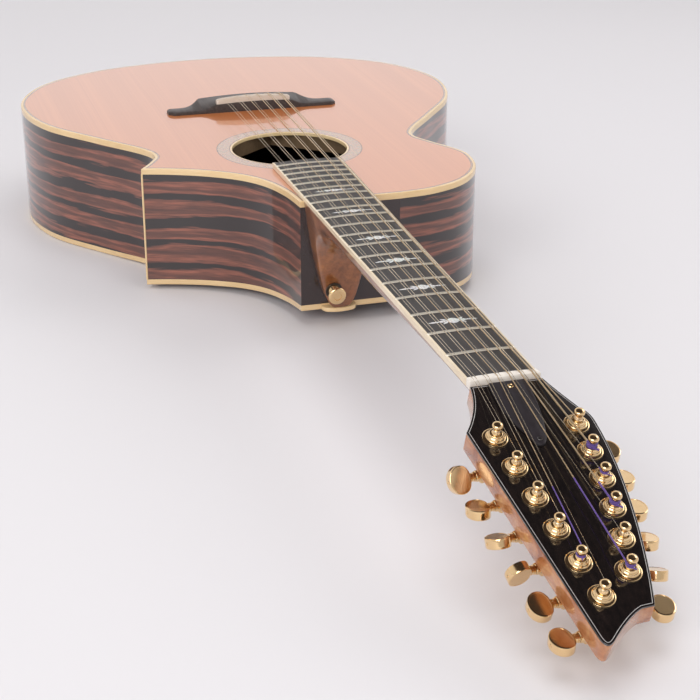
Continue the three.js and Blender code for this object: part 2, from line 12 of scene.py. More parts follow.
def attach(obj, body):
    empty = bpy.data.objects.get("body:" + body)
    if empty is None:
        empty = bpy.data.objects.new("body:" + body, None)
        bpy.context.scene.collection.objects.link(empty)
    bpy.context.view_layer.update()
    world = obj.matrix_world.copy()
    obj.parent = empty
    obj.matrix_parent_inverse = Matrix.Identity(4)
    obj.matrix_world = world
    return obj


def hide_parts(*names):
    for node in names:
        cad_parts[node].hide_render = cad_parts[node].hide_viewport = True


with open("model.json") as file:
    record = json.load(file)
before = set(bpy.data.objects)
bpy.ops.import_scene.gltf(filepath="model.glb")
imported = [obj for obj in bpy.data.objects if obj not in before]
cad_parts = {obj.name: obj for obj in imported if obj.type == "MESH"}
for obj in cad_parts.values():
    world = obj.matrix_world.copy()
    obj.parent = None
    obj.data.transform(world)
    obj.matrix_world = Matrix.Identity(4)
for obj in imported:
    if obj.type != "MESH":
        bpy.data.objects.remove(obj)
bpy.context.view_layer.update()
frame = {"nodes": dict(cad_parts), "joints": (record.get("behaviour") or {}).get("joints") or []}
dice = random.Random(12)

# ---------- driving dimensions, in millimetres ----------
MM = 0.001
WELD = 1e-6
SCALE_LENGTH = 647.7
FRET_COUNT = 20
STRING_COUNT = 12

TOP_HEIGHT = 112.57
TOP_SLOPE = 0.0124
TOP_THICKNESS = 3.0
BACK_THICKNESS = 3.0
BACK_FLAT_END = -30.0
BACK_ARCH_RADIUS = 2580.0
SIDE_THICKNESS = 2.4
BINDING_WIDTH = 2.6
BINDING_HEIGHT = 5.0
PURFLING_LINES = [(2.6, 2.9), (2.9, 4.1), (4.1, 4.4)]
TAIL_Y = 231.0
FRONT_Y = -290.0
FRONT_TREBLE_X = -32.0

HOLE_Y = -136.0
HOLE_RADIUS = 52.0
HOLE_RING_WIDTH = 1.6
ROSETTE_INNER = 54.0
ROSETTE_OUTER = 66.0
ROSETTE_DEPTH = 1.2
ROSETTE_LINE = 0.5

NUT_Y = -647.76
NUT_Z = 102.45
NECK_PITCH = math.atan(0.03)
NUT_HALF_WIDTH = 23.55
HEEL_JOINT = 359.2
HEEL_HALF_WIDTH = 29.05
HEEL_BOTTOM = -96.0
HEEL_BACK = 357.0
BOARD_LENGTH = 454.0
BOARD_NUT_THICKNESS = 5.0
BOARD_THICKNESS = 3.9
BOARD_END_THICKNESS = 5.6
BOARD_ON_BODY = 357.0
BOARD_RADIUS = 400.0
BOARD_BINDING = 1.7
NECK_TOP = -BOARD_THICKNESS
NECK_NUT_DEPTH = 14.0
NECK_SWELL = 4.8

HEAD_ANGLE = math.radians(17.25)
HEAD_SEAT = Vector((0, -5, -1.2))
HEAD_THICKNESS = 14.8
HEAD_FACING = 1.6
HEAD_START = 2.7

POST_WAIST_Z = 7.2
POST_WAIST_RADIUS = 2.1
WINDING_TOP = POST_WAIST_Z + 0.4

# ---------- the frames that shapes are drawn in ----------


def pitch(angle):
    return Matrix.Rotation(angle, 4, "X")


def shift(x, y, z):
    return Matrix.Translation((x, y, z))


METRES = Matrix.Identity(4)
ROW = Matrix.Scale(MM, 4)
TOP = ROW @ shift(0, 0, TOP_HEIGHT) @ pitch(math.atan(TOP_SLOPE))
NECK = ROW @ shift(0, NUT_Y, NUT_Z) @ pitch(NECK_PITCH)
HEAD = NECK @ shift(*HEAD_SEAT) @ pitch(HEAD_ANGLE)

# ---------- outlines and curves ----------


def smooth_curve(controls, steps=8):
    """Points along a curve that passes through each control point."""
    controls = [Vector(c) for c in controls]
    last = len(controls) - 1
    points = []
    for i in range(last):
        before, here = controls[max(i - 1, 0)], controls[i]
        there, after = controls[i + 1], controls[min(i + 2, last)]
        leaving, arriving = (there - before) / 2, (after - here) / 2
        for k in range(steps):
            t = k / steps
            cubic = 2 * here - 2 * there + leaving + arriving
            square = -3 * here + 3 * there - 2 * leaving - arriving
            points.append(cubic * t**3 + square * t**2 + leaving * t + here)
    return points + [controls[last]]


def bezier(controls, steps=10):
    """Points along a Bezier curve of any degree."""
    points = []
    for k in range(steps + 1):
        level = [Vector(c) for c in controls]
        while len(level) > 1:
            level = [a.lerp(b, k / steps) for a, b in zip(level, level[1:])]
        points.append(level[0])
    return points


def clamped(value):
    return min(max(value, 0.0), 1.0)


def full_turn(count):
    return [2 * math.pi * k / count for k in range(count)]


def circle(radius, x=0.0, y=0.0, count=96):
    return [Vector((x + radius * math.cos(t), y + radius * math.sin(t))) for t in full_turn(count)]


def chained(*runs):
    """One closed outline from runs of points, leaving out points that repeat."""
    points = []
    for run in runs:
        for p in run:
            p = Vector(p)
            if not points or (p - points[-1]).length > 0.01:
                points.append(p)
    if (points[0] - points[-1]).length < 0.01:
        points.pop()
    return points


def inset(outline, distance):
    """A closed outline moved inward, point for point, with points lost in a corner gathered there."""
    points = np.array([(p[0], p[1]) for p in outline])
    ahead = np.roll(points, -1, axis=0) - points
    ahead /= np.linalg.norm(ahead, axis=1)[:, None]
    behind = np.roll(ahead, 1, axis=0)
    x, y = points.T
    winding = np.sign(np.sum(x * np.roll(y, -1) - y * np.roll(x, -1)))
    normal = winding * np.stack([-(ahead + behind)[:, 1], (ahead + behind)[:, 0]], axis=1)
    normal /= np.maximum(np.linalg.norm(normal, axis=1), 1e-9)[:, None]
    across = winding * np.stack([-ahead[:, 1], ahead[:, 0]], axis=1)
    stretch = np.maximum(np.sum(normal * across, axis=1), 0.35)
    moved = points + normal * (distance / stretch)[:, None]
    if abs(distance) > 0.3:
        moved = gather_lost(points, moved, abs(distance))
    return [Vector(p) for p in moved]


def gather_lost(points, moved, distance):
    """Points that came closer to the outline than the distance go to the nearest sound one."""
    ends = np.roll(points, -1, axis=0)
    run = ends - points
    length = np.maximum(np.sum(run * run, axis=1), 1e-12)
    gap = moved[:, None, :] - points[None, :, :]
    share = np.clip(np.sum(gap * run[None], axis=2) / length, 0, 1)
    nearest = np.linalg.norm(gap - share[:, :, None] * run[None], axis=2).min(axis=1)
    sound = np.flatnonzero(nearest > 0.97 * distance)
    for i in np.flatnonzero(nearest <= 0.97 * distance):
        steps = np.abs(sound - i)
        moved[i] = moved[sound[np.argmin(np.minimum(steps, len(points) - steps))]]
    return moved


# ---------- solids: each is a list of points and a list of faces ----------


def joined(*shapes):
    points, faces = [], []
    for shape_points, shape_faces in shapes:
        first = len(points)
        points += shape_points
        faces += [[first + i for i in face] for face in shape_faces]
    return points, faces


def carried(shape, matrix):
    return [matrix @ Vector(p) for p in shape[0]], shape[1]


def loft(rings, endless=False, capped=True):
    """A skin over closed rings with equal point counts."""
    count = len(rings[0])
    faces = []
    for r in range(len(rings) if endless else len(rings) - 1):
        here, there = r * count, (r + 1) % len(rings) * count
        for i in range(count):
            j = (i + 1) % count
            faces.append([here + i, here + j, there + j, there + i])
    if capped and not endless:
        faces.append(list(range(count))[::-1])
        faces.append([(len(rings) - 1) * count + i for i in range(count)])
    return [p for ring in rings for p in ring], faces


def turned(profile, segments=40, endless=False):
    """A profile of radius and height, turned about Z."""
    turns = full_turn(segments)
    rings = [[(r * math.cos(t), r * math.sin(t), z) for t in turns] for r, z in profile]
    return loft(rings, endless)


def rounded_slab(outline, low, high, edge=0.6, steps=3):
    """An outline raised from low to high, with rounded edges above and below."""
    rows = []
    for k in range(steps + 1):
        turn = math.pi / 2 * k / steps
        rows.append((edge * (1 - math.sin(turn)), low + edge * (1 - math.cos(turn))))
    rows += [(depth, low + high - z) for depth, z in reversed(rows)]
    return loft([[(x, y, z) for x, y in inset(outline, depth)] for depth, z in rows])


def sheet_between(loops, top_at, bottom_at):
    """A slab between two heights that vary in plan; the loops after the first are holes."""
    flat = [Vector((p[0], p[1], 0)) for loop in loops for p in loop]
    size = len(flat)
    tops = [(p.x, p.y, top_at(p.x, p.y)) for p in flat]
    bottoms = [(p.x, p.y, bottom_at(p.x, p.y)) for p in flat]
    triangles = tessellate_polygon([[Vector((p[0], p[1], 0)) for p in loop] for loop in loops])
    faces = [list(t) for t in triangles] + [[i + size for i in t][::-1] for t in triangles]
    first = 0
    for loop in loops:
        for i in range(len(loop)):
            a, b = first + i, first + (i + 1) % len(loop)
            faces.append([a, b, b + size, a + size])
        first += len(loop)
    return tops + bottoms, faces


def tube(path, radius, sides=8):
    """A round rod along a path; its radius may be one number or one for each point."""
    points = [Vector(p) for p in path]
    radii = [radius] * len(points) if isinstance(radius, (int, float)) else radius
    rings, side = [], None
    for i, point in enumerate(points):
        along = (points[min(i + 1, len(points) - 1)] - points[max(i - 1, 0)]).normalized()
        side = along.orthogonal() if side is None else side - along * side.dot(along)
        side.normalize()
        up = along.cross(side)
        rings.append([point + (side * math.cos(t) + up * math.sin(t)) * radii[i]
                      for t in full_turn(sides)])
    return loft(rings)


def block(x0, x1, y0, y1, low, high, edge=0.4):
    return rounded_slab([(x0, y0), (x1, y0), (x1, y1), (x0, y1)], low, high, edge)


def piece(name, shape, place, finish, body="root", replaces=(), crease=35):
    """Makes a mesh object of a shape, rides it on a body and names its finish."""
    mesh = bpy.data.meshes.new(name)
    mesh.from_pydata([place @ Vector(p) for p in shape[0]], [], shape[1])
    work = bmesh.new()
    work.from_mesh(mesh)
    bmesh.ops.remove_doubles(work, verts=work.verts, dist=WELD)
    bmesh.ops.recalc_face_normals(work, faces=work.faces)
    work.to_mesh(mesh)
    work.free()
    mesh.polygons.foreach_set("use_smooth", [True] * len(mesh.polygons))
    mesh.set_sharp_from_angle(angle=math.radians(crease))
    mesh.materials.append(finish)
    item = bpy.data.objects.new(name, mesh)
    bpy.context.scene.collection.objects.link(item)
    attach(item, body)
    if replaces:
        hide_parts(*replaces)
    return item


# ---------- finishes ----------


class Finish:
    """A node material being made, with short calls for the nodes that the finishes share."""

    def __init__(self, name, roughness, metallic=0.0, coat=0.0, coat_ior=1.5):
        self.material = bpy.data.materials.new(name)
        self.material.use_nodes = True
        self.tree = self.material.node_tree
        self.shader = next(n for n in self.tree.nodes if n.type == "BSDF_PRINCIPLED")
        self.shader.inputs["Roughness"].default_value = roughness
        self.shader.inputs["Metallic"].default_value = metallic
        self.shader.inputs["Coat Weight"].default_value = coat
        self.shader.inputs["Coat Roughness"].default_value = 0.04
        self.shader.inputs["Coat IOR"].default_value = coat_ior

    def add(self, kind, settings=None, **inputs):
        node = self.tree.nodes.new(kind)
        for key, value in (settings or {}).items():
            setattr(node, key, value)
        for key, value in inputs.items():
            socket = node.inputs[key]
            if isinstance(value, bpy.types.NodeSocket):
                self.tree.links.new(value, socket)
            else:
                socket.default_value = value
        return node

    def space(self, scale):
        source = self.add("ShaderNodeTexCoord").outputs["Object"]
        return self.add("ShaderNodeMapping", Vector=source, Scale=scale).outputs[0]

    def noise(self, where, detail=3.0, roughness=0.55, distortion=0.0, scale=1.0):
        """Noise over the object; where is one mapping scale, three of them, or a mapped vector."""
        if isinstance(where, float):
            where = (where, where, where)
        return self.add(
            "ShaderNodeTexNoise",
            Vector=self.space(where) if isinstance(where, tuple) else where,
            Scale=scale,
            Detail=detail,
            Roughness=roughness,
            Distortion=distortion,
        ).outputs["Fac"]

    def ramp(self, factor, stops):
        node = self.add("ShaderNodeValToRGB", Fac=factor)
        elements = node.color_ramp.elements
        while len(elements) < len(stops):
            elements.new(0.5)
        for element, (place, colour) in zip(elements, stops):
            element.position = place
            element.color = (*colour, 1.0)
        return node.outputs["Color"]

    def mix(self, factor, first, second, blend="MIX"):
        node = self.add("ShaderNodeMix", {"data_type": "RGBA", "blend_type": blend})
        sockets = [node.inputs[0], node.inputs[6], node.inputs[7]]
        for socket, value in zip(sockets, (factor, first, second)):
            if isinstance(value, bpy.types.NodeSocket):
                self.tree.links.new(value, socket)
            elif isinstance(value, tuple):
                socket.default_value = (*value, 1.0)
            else:
                socket.default_value = value
        return node.outputs[2]

    def span(self, factor, low, high):
        """A grey value moved from 0..1 into low..high."""
        return self.add(
            "ShaderNodeMapRange", Value=factor, **{"To Min": low, "To Max": high}
        ).outputs[0]

    def coloured(self, socket):
        self.tree.links.new(socket, self.shader.inputs["Base Color"])

    def shaded(self, share, first, second, dark, light):
        """Two noises that each run from dark to light, mixed into the colour."""
        stops = [(0.3, dark), (0.7, light)]
        self.coloured(self.mix(share, self.ramp(first, stops), self.ramp(second, stops)))

    def roughened(self, socket):
        self.tree.links.new(socket, self.shader.inputs["Roughness"])

    def bumped(self, height, strength=0.2, distance=0.0002):
        node = self.add("ShaderNodeBump", Height=height, Strength=strength, Distance=distance)
        self.tree.links.new(node.outputs["Normal"], self.shader.inputs["Normal"])


def wood(name, dark, light, grain, roughness):
    """Bare straight-grained wood: grain is the mapping scale, fine across and long along the fibres."""
    finish = Finish(name, roughness)
    fibres = finish.noise(grain, 6.0, 0.6, 0.3)
    broad = finish.noise(tuple(g * 0.12 for g in grain))
    finish.shaded(0.45, fibres, broad, dark, light)
    finish.bumped(fibres, 0.1)
    return finish.material


LACQUER_IOR = 1.88


def soundboard_finish():
    """Two book-matched halves of close-grained cedar under clear lacquer."""
    finish = Finish("cedar_lacquered", 0.3, coat=1.0, coat_ior=LACQUER_IOR)
    source = finish.add("ShaderNodeTexCoord").outputs["Object"]
    mirrored = finish.add("ShaderNodeVectorMath", {"operation": "ABSOLUTE"}, Vector=source).outputs[0]
    grain = finish.add("ShaderNodeMapping", Vector=mirrored, Scale=(620.0, 2.2, 1.0)).outputs[0]
    lines = finish.noise(grain, 5.0, 0.6, 0.4)
    bands_space = finish.add("ShaderNodeMapping", Vector=mirrored, Scale=(60.0, 1.1, 1.0)).outputs[0]
    bands = finish.noise(bands_space)
    broad = finish.noise(0.8, 2.0, scale=6.0)
    early = finish.ramp(bands, [(0.3, (0.61, 0.188, 0.046)), (0.7, (0.68, 0.216, 0.056))])
    late = finish.ramp(broad, [(0.3, (0.53, 0.150, 0.034)), (0.7, (0.59, 0.173, 0.042))])
    streaks = finish.ramp(lines, [(0.42, (0.0, 0.0, 0.0)), (0.66, (0.45, 0.45, 0.45))])
    finish.coloured(finish.mix(streaks, early, late))
    finish.bumped(lines, 0.03)
    return finish.material


def macassar_finish(name, direction, stretch):
    """Dark wood with wavy black and reddish-brown bands that run along the sides."""
    finish = Finish(name, 0.3, coat=1.0, coat_ior=1.42)
    bands = finish.add(
        "ShaderNodeTexWave",
        {"wave_type": "BANDS", "bands_direction": direction},
        Vector=finish.space(stretch),
        Scale=15.0,
        Distortion=6.0,
        Detail=5.0,
        **{"Detail Scale": 2.4, "Detail Roughness": 0.7},
    ).outputs["Fac"]
    fine = finish.noise(tuple(s * 420 for s in stretch), 4.0, 0.6)
    tone = finish.ramp(fine, [(0.25, (0.15, 0.050, 0.034)), (0.75, (0.40, 0.130, 0.080))])
    share = finish.ramp(bands, [(0.24, (0.0, 0.0, 0.0)), (0.38, (0.5, 0.5, 0.5)),
                                (0.66, (1.0, 1.0, 1.0)), (0.96, (0.35, 0.35, 0.35))])
    finish.coloured(finish.mix(share, (0.022, 0.014, 0.014), tone))
    finish.bumped(fine, 0.03)
    return finish.material


def neck_finish():
    """Gloss reddish-brown mahogany with short dark pores."""
    finish = Finish("mahogany_gloss", 0.28, coat=1.0)
    fibres = finish.noise((260.0, 9.0, 260.0), 6.0, 0.65, 0.6)
    mottle = finish.noise(26.0, 3.0, 0.5, 1.2)
    base = finish.ramp(mottle, [(0.25, (0.15, 0.042, 0.012)), (0.55, (0.29, 0.098, 0.030)),
                                (0.8, (0.43, 0.160, 0.045))])
    pores = finish.ramp(fibres, [(0.35, (0.45, 0.45, 0.45)), (0.6, (1.0, 1.0, 1.0))])
    finish.coloured(finish.mix(0.6, base, pores, "MULTIPLY"))
    finish.bumped(fibres, 0.04)
    return finish.material


def head_wood_finish():
    """The head's figured edge: light reddish brown with cloudy orange and dark patches."""
    finish = Finish("mahogany_figured", 0.25, coat=1.0)
    clouds = finish.noise((45.0, 45.0, 60.0), 3.0, 0.55, 1.6)
    fibres = finish.noise((300.0, 14.0, 300.0), 5.0, 0.6)
    base = finish.ramp(clouds, [(0.28, (0.27, 0.075, 0.022)), (0.42, (0.42, 0.150, 0.052)),
                                (0.58, (0.50, 0.220, 0.095)), (0.78, (0.60, 0.310, 0.110))])
    lines = finish.ramp(fibres, [(0.3, (0.75, 0.7, 0.66)), (0.6, (1.0, 1.0, 1.0))])
    finish.coloured(finish.mix(0.7, base, lines, "MULTIPLY"))
    finish.bumped(fibres, 0.03)
    return finish.material


def ebony_finish(name, low, high, roughness, coat=0.0):
    """Black wood with fine brown streaks along its length."""
    finish = Finish(name, roughness, coat=coat)
    fibres = finish.noise((420.0, 10.0, 420.0), 6.0, 0.65, 0.4)
    finish.coloured(finish.ramp(fibres, [(0.35, low), (0.72, high)]))
    finish.bumped(fibres, 0.12 if coat == 0.0 else 0.02)
    return finish.material


def cream_finish(name, dark, light, roughness=0.22):
    """Aged cream plastic or bone: slow colour drift with faint grain lines."""
    finish = Finish(name, roughness, coat=0.5)
    drift = finish.noise(22.0)
    grain = finish.noise((90.0, 90.0, 900.0))
    finish.shaded(0.35, drift, grain, dark, light)
    finish.bumped(grain, 0.02)
    return finish.material


def shell_finish(name, scale, dark, light, tint):
    """Shell cut into small chips of slightly different shades, with a slight play of colour."""
    finish = Finish(name, 0.18, coat=1.0, coat_ior=LACQUER_IOR)
    chips = finish.add("ShaderNodeTexVoronoi", Vector=finish.space((1.0, 1.0, 1.0)), Scale=scale)
    tones = finish.ramp(chips.outputs["Distance"], [(0.0, light), (0.9, dark)])
    cells = finish.mix(0.16, tones, chips.outputs["Color"], "OVERLAY")
    play = finish.noise(150.0, 2.0, 0.5, 2.0)
    finish.coloured(finish.mix(finish.span(play, 0.0, 0.5), cells, tint))
    return finish.material


def metal_finish(name, colour, worn, roughness=0.14):
    """Polished metal whose sheen drifts a little, with hairline marks."""
    finish = Finish(name, roughness, metallic=1.0, coat=0.25)
    drift = finish.noise(160.0)
    hairs = finish.noise((2600.0, 240.0, 240.0))
    finish.coloured(finish.mix(finish.span(drift, 0.0, 0.6), colour, worn))
    finish.roughened(finish.span(drift, roughness * 0.7, roughness * 1.6))
    finish.bumped(hairs, 0.02, 0.00005)
    return finish.material


def wound_finish():
    """Bronze wire wound round a core, shown as close rings across the string."""
    finish = Finish("bronze_wound", 0.28, metallic=1.0)
    rings = finish.add(
        "ShaderNodeTexWave",
        {"wave_type": "BANDS", "bands_direction": "Y"},
        Vector=finish.space((1.0, 1.0, 1.0)),
        Scale=640.0,
    ).outputs["Fac"]
    finish.coloured(finish.ramp(rings, [(0.0, (0.56, 0.38, 0.21)), (0.6, (0.90, 0.72, 0.48))]))
    finish.bumped(rings, 0.5, 0.0001)
    return finish.material


def silk_finish():
    """Purple silk thread wrapped over the ends of some strings."""
    finish = Finish("silk_purple", 0.6)
    threads = finish.noise(900.0)
    finish.coloured(finish.ramp(threads, [(0.3, (0.05, 0.02, 0.15)), (0.7, (0.15, 0.065, 0.38))]))
    finish.shader.inputs["Sheen Weight"].default_value = 0.4
    finish.bumped(threads, 0.3, 0.0001)
    return finish.material


CEDAR = soundboard_finish()
STRIPED = macassar_finish("ebony_striped", "Z", (0.08, 0.08, 1.0))
STRIPED_BACK = macassar_finish("ebony_striped_back", "X", (1.0, 0.08, 0.08))
MAHOGANY = neck_finish()
HEAD_WOOD = head_wood_finish()
BOARD_EBONY = ebony_finish("ebony_satin", (0.012, 0.010, 0.010), (0.042, 0.032, 0.030), 0.42)
BRIDGE_EBONY = ebony_finish("ebony_bridge", (0.030, 0.022, 0.020), (0.085, 0.062, 0.056), 0.42)
HEAD_BLACK = ebony_finish("ebony_gloss", (0.004, 0.003, 0.003), (0.014, 0.009, 0.008), 0.12, 1.0)
COVER_BLACK = ebony_finish("cover_satin", (0.018, 0.014, 0.017), (0.030, 0.024, 0.029), 0.4, 0.2)
# The side face behind the heel: the side wood's own dark bands spread over the whole face, darkened as
# painted shade of the recess under the board.
FRONT_PAINTED_SHADE = ebony_finish("front_lacquered_painted_shade", (0.022, 0.012, 0.012), (0.036, 0.020, 0.019), 0.25, 0.6)
CREAM = cream_finish("binding_cream", (0.70, 0.48, 0.24), (0.86, 0.63, 0.35))
PALE_CREAM = cream_finish("binding_pale", (0.72, 0.57, 0.38), (0.86, 0.74, 0.54))
RING_CREAM = cream_finish("binding_ring", (0.78, 0.57, 0.29), (0.91, 0.70, 0.41))
LINE_GREY = cream_finish("line_grey", (0.40, 0.38, 0.37), (0.60, 0.58, 0.56))
BONE = cream_finish("bone_polished", (0.74, 0.67, 0.59), (0.88, 0.82, 0.75), 0.3)
SADDLE_BONE = cream_finish("bone_aged", (0.58, 0.47, 0.38), (0.74, 0.63, 0.53), 0.3)
BLACK_LINE = ebony_finish("line_black", (0.010, 0.008, 0.008), (0.03, 0.022, 0.02), 0.3, 0.5)
ROSETTE_SHELL = shell_finish("shell_mosaic", 420.0, (0.28, 0.13, 0.065), (0.58, 0.33, 0.19),
                             (0.46, 0.25, 0.14))
INLAY_SHELL = shell_finish("shell_pearl", 240.0, (0.52, 0.52, 0.52), (0.86, 0.85, 0.86),
                           (0.62, 0.66, 0.60))
GOLD = metal_finish("gold_plate", (0.90, 0.65, 0.36), (0.74, 0.48, 0.22))
NICKEL = metal_finish("fret_wire", (0.98, 0.92, 0.82), (0.92, 0.85, 0.74), 0.5)
PLAIN_STEEL = metal_finish("steel_plain", (0.86, 0.74, 0.56), (0.74, 0.62, 0.45), 0.2)
DARK_STEEL = metal_finish("steel_dark", (0.16, 0.15, 0.15), (0.10, 0.09, 0.09), 0.35)
BRONZE = wound_finish()
SILK = silk_finish()
# The wood inside the body: spruce and mahogany colours darkened far below the real woods, as painted
# shade of the closed box.
SPRUCE_PAINTED_SHADE = wood("spruce_bare_painted_shade", (0.12, 0.075, 0.035), (0.20, 0.13, 0.07), (300.0, 300.0, 300.0), 0.7)
BLOCK_WOOD_PAINTED_SHADE = wood("mahogany_bare_painted_shade", (0.02, 0.009, 0.005), (0.04, 0.018, 0.010), (200.0, 12.0, 90.0), 0.65)
ROD_STEEL = metal_finish("rod_steel", (0.5, 0.5, 0.52), (0.34, 0.34, 0.36), 0.4)

# ---------- the body ----------
LOWER_BOUT = [(122, -127), (130, -103), (164, -56.5), (202, 0), (217.5, 60), (211, 114),
              (181, 167), (126, 206), (63, 225)]
BASS_UPPER_BOUT = [(54, -290), (86, -285), (118, -268), (141, -238), (149, -204),
                   (146, -182), (131, -151)]
TREBLE_TO_HORN = [(-129, -145.5), (-140.5, -163.8)]
CUTAWAY = [(-140.5, -163.8), (-118, -171), (-90, -184), (-63, -203.5), (-46, -227),
           (-36, -258), (FRONT_TREBLE_X, FRONT_Y)]

mirrored_bout = [(-x, y) for x, y in reversed(LOWER_BOUT)]
main_run = smooth_curve([*BASS_UPPER_BOUT, *LOWER_BOUT, (0, TAIL_Y), *mirrored_bout, *TREBLE_TO_HORN])
cutaway_run = smooth_curve(CUTAWAY)
front_run = [Vector((x, FRONT_Y)) for x in range(-24, 54, 8)]
OUTLINE = chained(main_run, cutaway_run, front_run)
HORN_INDEX = len(main_run) - 1
TAIL_INDEX = max(range(len(OUTLINE)), key=lambda i: OUTLINE[i].y)
FRONT_INDEX = len(main_run) + len(cutaway_run) - 2


def top_at(x, y):
    return TOP_HEIGHT + TOP_SLOPE * y


def back_at(x, y):
    return max(0.0, BACK_FLAT_END - y) ** 2 / (2 * BACK_ARCH_RADIUS)


def rim_band(rows):
    """A closed band round the outline; each row is an inset, a height function and an offset."""
    rings = []
    for depth, height_at, offset in rows:
        rings.append([(x, y, height_at(x, y) + offset) for x, y in inset(OUTLINE, depth)])
    return loft(rings, endless=True)


def binding_rows(height_at, outward):
    """The section of a binding strip with one rounded outer edge; outward is 1 above, -1 below."""
    edge = 0.7
    rows = [(0.0, height_at, -outward * BINDING_HEIGHT)]
    for k in range(4):
        turn = math.pi / 2 * k / 3
        rows.append((edge * (1 - math.cos(turn)), height_at, outward * edge * (math.sin(turn) - 1)))
    rows.append((BINDING_WIDTH, height_at, 0.0))
    rows.append((BINDING_WIDTH, height_at, -outward * BINDING_HEIGHT))
    return rows


def arched(shape):
    """A flat back cut every few millimetres where it arches, so that it can bend."""
    work = bmesh.new()
    points = [work.verts.new(p) for p in shape[0]]
    for face in shape[1]:
        work.faces.new([points[i] for i in face])
    for y in range(int(FRONT_Y), int(BACK_FLAT_END) + 1, 10):
        everything = work.verts[:] + work.edges[:] + work.faces[:]
        bmesh.ops.bisect_plane(work, geom=everything, plane_co=(0, y, 0), plane_no=(0, 1, 0))
    for vertex in work.verts:
        vertex.co.z += back_at(vertex.co.x, vertex.co.y)
    work.verts.index_update()
    made = [v.co.copy() for v in work.verts], [[v.index for v in f.verts] for f in work.faces]
    work.free()
    return made


def side_strip(first, last):
    """The rim wood between two outline points, with its four long edges."""
    outer, inner = OUTLINE, inset(OUTLINE, SIDE_THICKNESS)
    rings = []
    for i in range(first, last + 1):
        i %= len(OUTLINE)
        (x, y), (u, v) = outer[i], inner[i]
        low, high = back_at(x, y) + BINDING_HEIGHT, top_at(x, y) - BINDING_HEIGHT
        steps = [low + (high - low) * k / 4 for k in range(5)]
        rings.append([(x, y, z) for z in steps] + [(u, v, z) for z in reversed(steps)])
    return loft(rings)


def make_plates():
    loops = [inset(OUTLINE, PURFLING_LINES[-1][1]), circle(ROSETTE_OUTER, 0, HOLE_Y)]
    plate = sheet_between(loops, top_at, lambda x, y: top_at(x, y) - TOP_THICKNESS)
    inner = sheet_between(
        [circle(ROSETTE_OUTER, 0, HOLE_Y), circle(HOLE_RADIUS + HOLE_RING_WIDTH, 0, HOLE_Y)],
        lambda x, y: top_at(x, y) - ROSETTE_DEPTH,
        lambda x, y: top_at(x, y) - TOP_THICKNESS,
    )
    piece("soundboard_plate", joined(plate, inner), ROW, CEDAR,
          replaces=["soundboard"])
    flat = sheet_between([inset(OUTLINE, BINDING_WIDTH)], lambda x, y: BACK_THICKNESS, lambda x, y: 0)
    piece("back_plate", arched(flat), ROW, STRIPED_BACK, replaces=["back"])


def make_rosette():
    def ring(inner, outer):
        return sheet_between(
            [circle(outer, 0, HOLE_Y), circle(inner, 0, HOLE_Y)],
            top_at,
            lambda x, y: top_at(x, y) - ROSETTE_DEPTH,
        )

    first, last = ROSETTE_INNER + ROSETTE_LINE, ROSETTE_OUTER - ROSETTE_LINE
    piece("rosette_shell", ring(first, last), ROW, ROSETTE_SHELL, replaces=["rosette"])
    lines = joined(ring(ROSETTE_INNER, first), ring(last, ROSETTE_OUTER))
    piece("rosette_lines", lines, ROW, BLACK_LINE)
    edge = HOLE_RADIUS + HOLE_RING_WIDTH
    profile = [(HOLE_RADIUS, -TOP_THICKNESS), (HOLE_RADIUS, -0.5), (HOLE_RADIUS + 0.15, -0.15),
               (HOLE_RADIUS + 0.5, 0.0), (edge, 0.0), (edge, -TOP_THICKNESS)]
    points, faces = carried(turned(profile, 96, endless=True), shift(0, HOLE_Y, 0))
    lifted = [(x, y, z + top_at(x, y)) for x, y, z in points]
    piece("sound_hole_ring", (lifted, faces), ROW, RING_CREAM)
    piece("rosette_inner_wood", ring(edge, ROSETTE_INNER), ROW, CEDAR)


def make_rim():
    for name, first, last in [
        ("side_bass", 0, TAIL_INDEX),
        ("side_treble", TAIL_INDEX, HORN_INDEX),
        ("side_cutaway", HORN_INDEX, FRONT_INDEX),
    ]:
        piece(f"{name}_panel", side_strip(first, last), ROW, STRIPED, replaces=[name])
    # The face behind the heel gets the near-black finish, which is painted shade over the side wood's
    # dark bands.
    piece("side_front_panel", side_strip(FRONT_INDEX, len(OUTLINE)), ROW, FRONT_PAINTED_SHADE)
    piece("top_binding_strip", rim_band(binding_rows(top_at, 1)), ROW, CREAM,
          replaces=["top_binding"])
    piece("back_binding_strip", rim_band(binding_rows(back_at, -1)), ROW, CREAM,
          replaces=["back_binding"])
    for number, (start, end) in enumerate(PURFLING_LINES, 1):
        rows = [(start, top_at, -1.5), (start, top_at, 0), (end, top_at, 0), (end, top_at, -1.5)]
        shell = number == 2
        piece(f"top_purfling_{number}", rim_band(rows), ROW, ROSETTE_SHELL if shell else BLACK_LINE)
    corner = OUTLINE[HORN_INDEX]
    low = back_at(*corner) + BINDING_HEIGHT
    high = top_at(*corner) - BINDING_HEIGHT
    line = [(corner.x + 0.5, corner.y + 0.2, z) for z in (low, high)]
    piece("horn_edge_strip", tube(line, 0.9, 12), ROW, CREAM)
    seam = [(0, TAIL_Y - 0.35, z) for z in (BINDING_HEIGHT, top_at(0, TAIL_Y) - BINDING_HEIGHT)]
    piece("tail_seam_strip", tube(seam, 0.8, 12), ROW, CREAM)


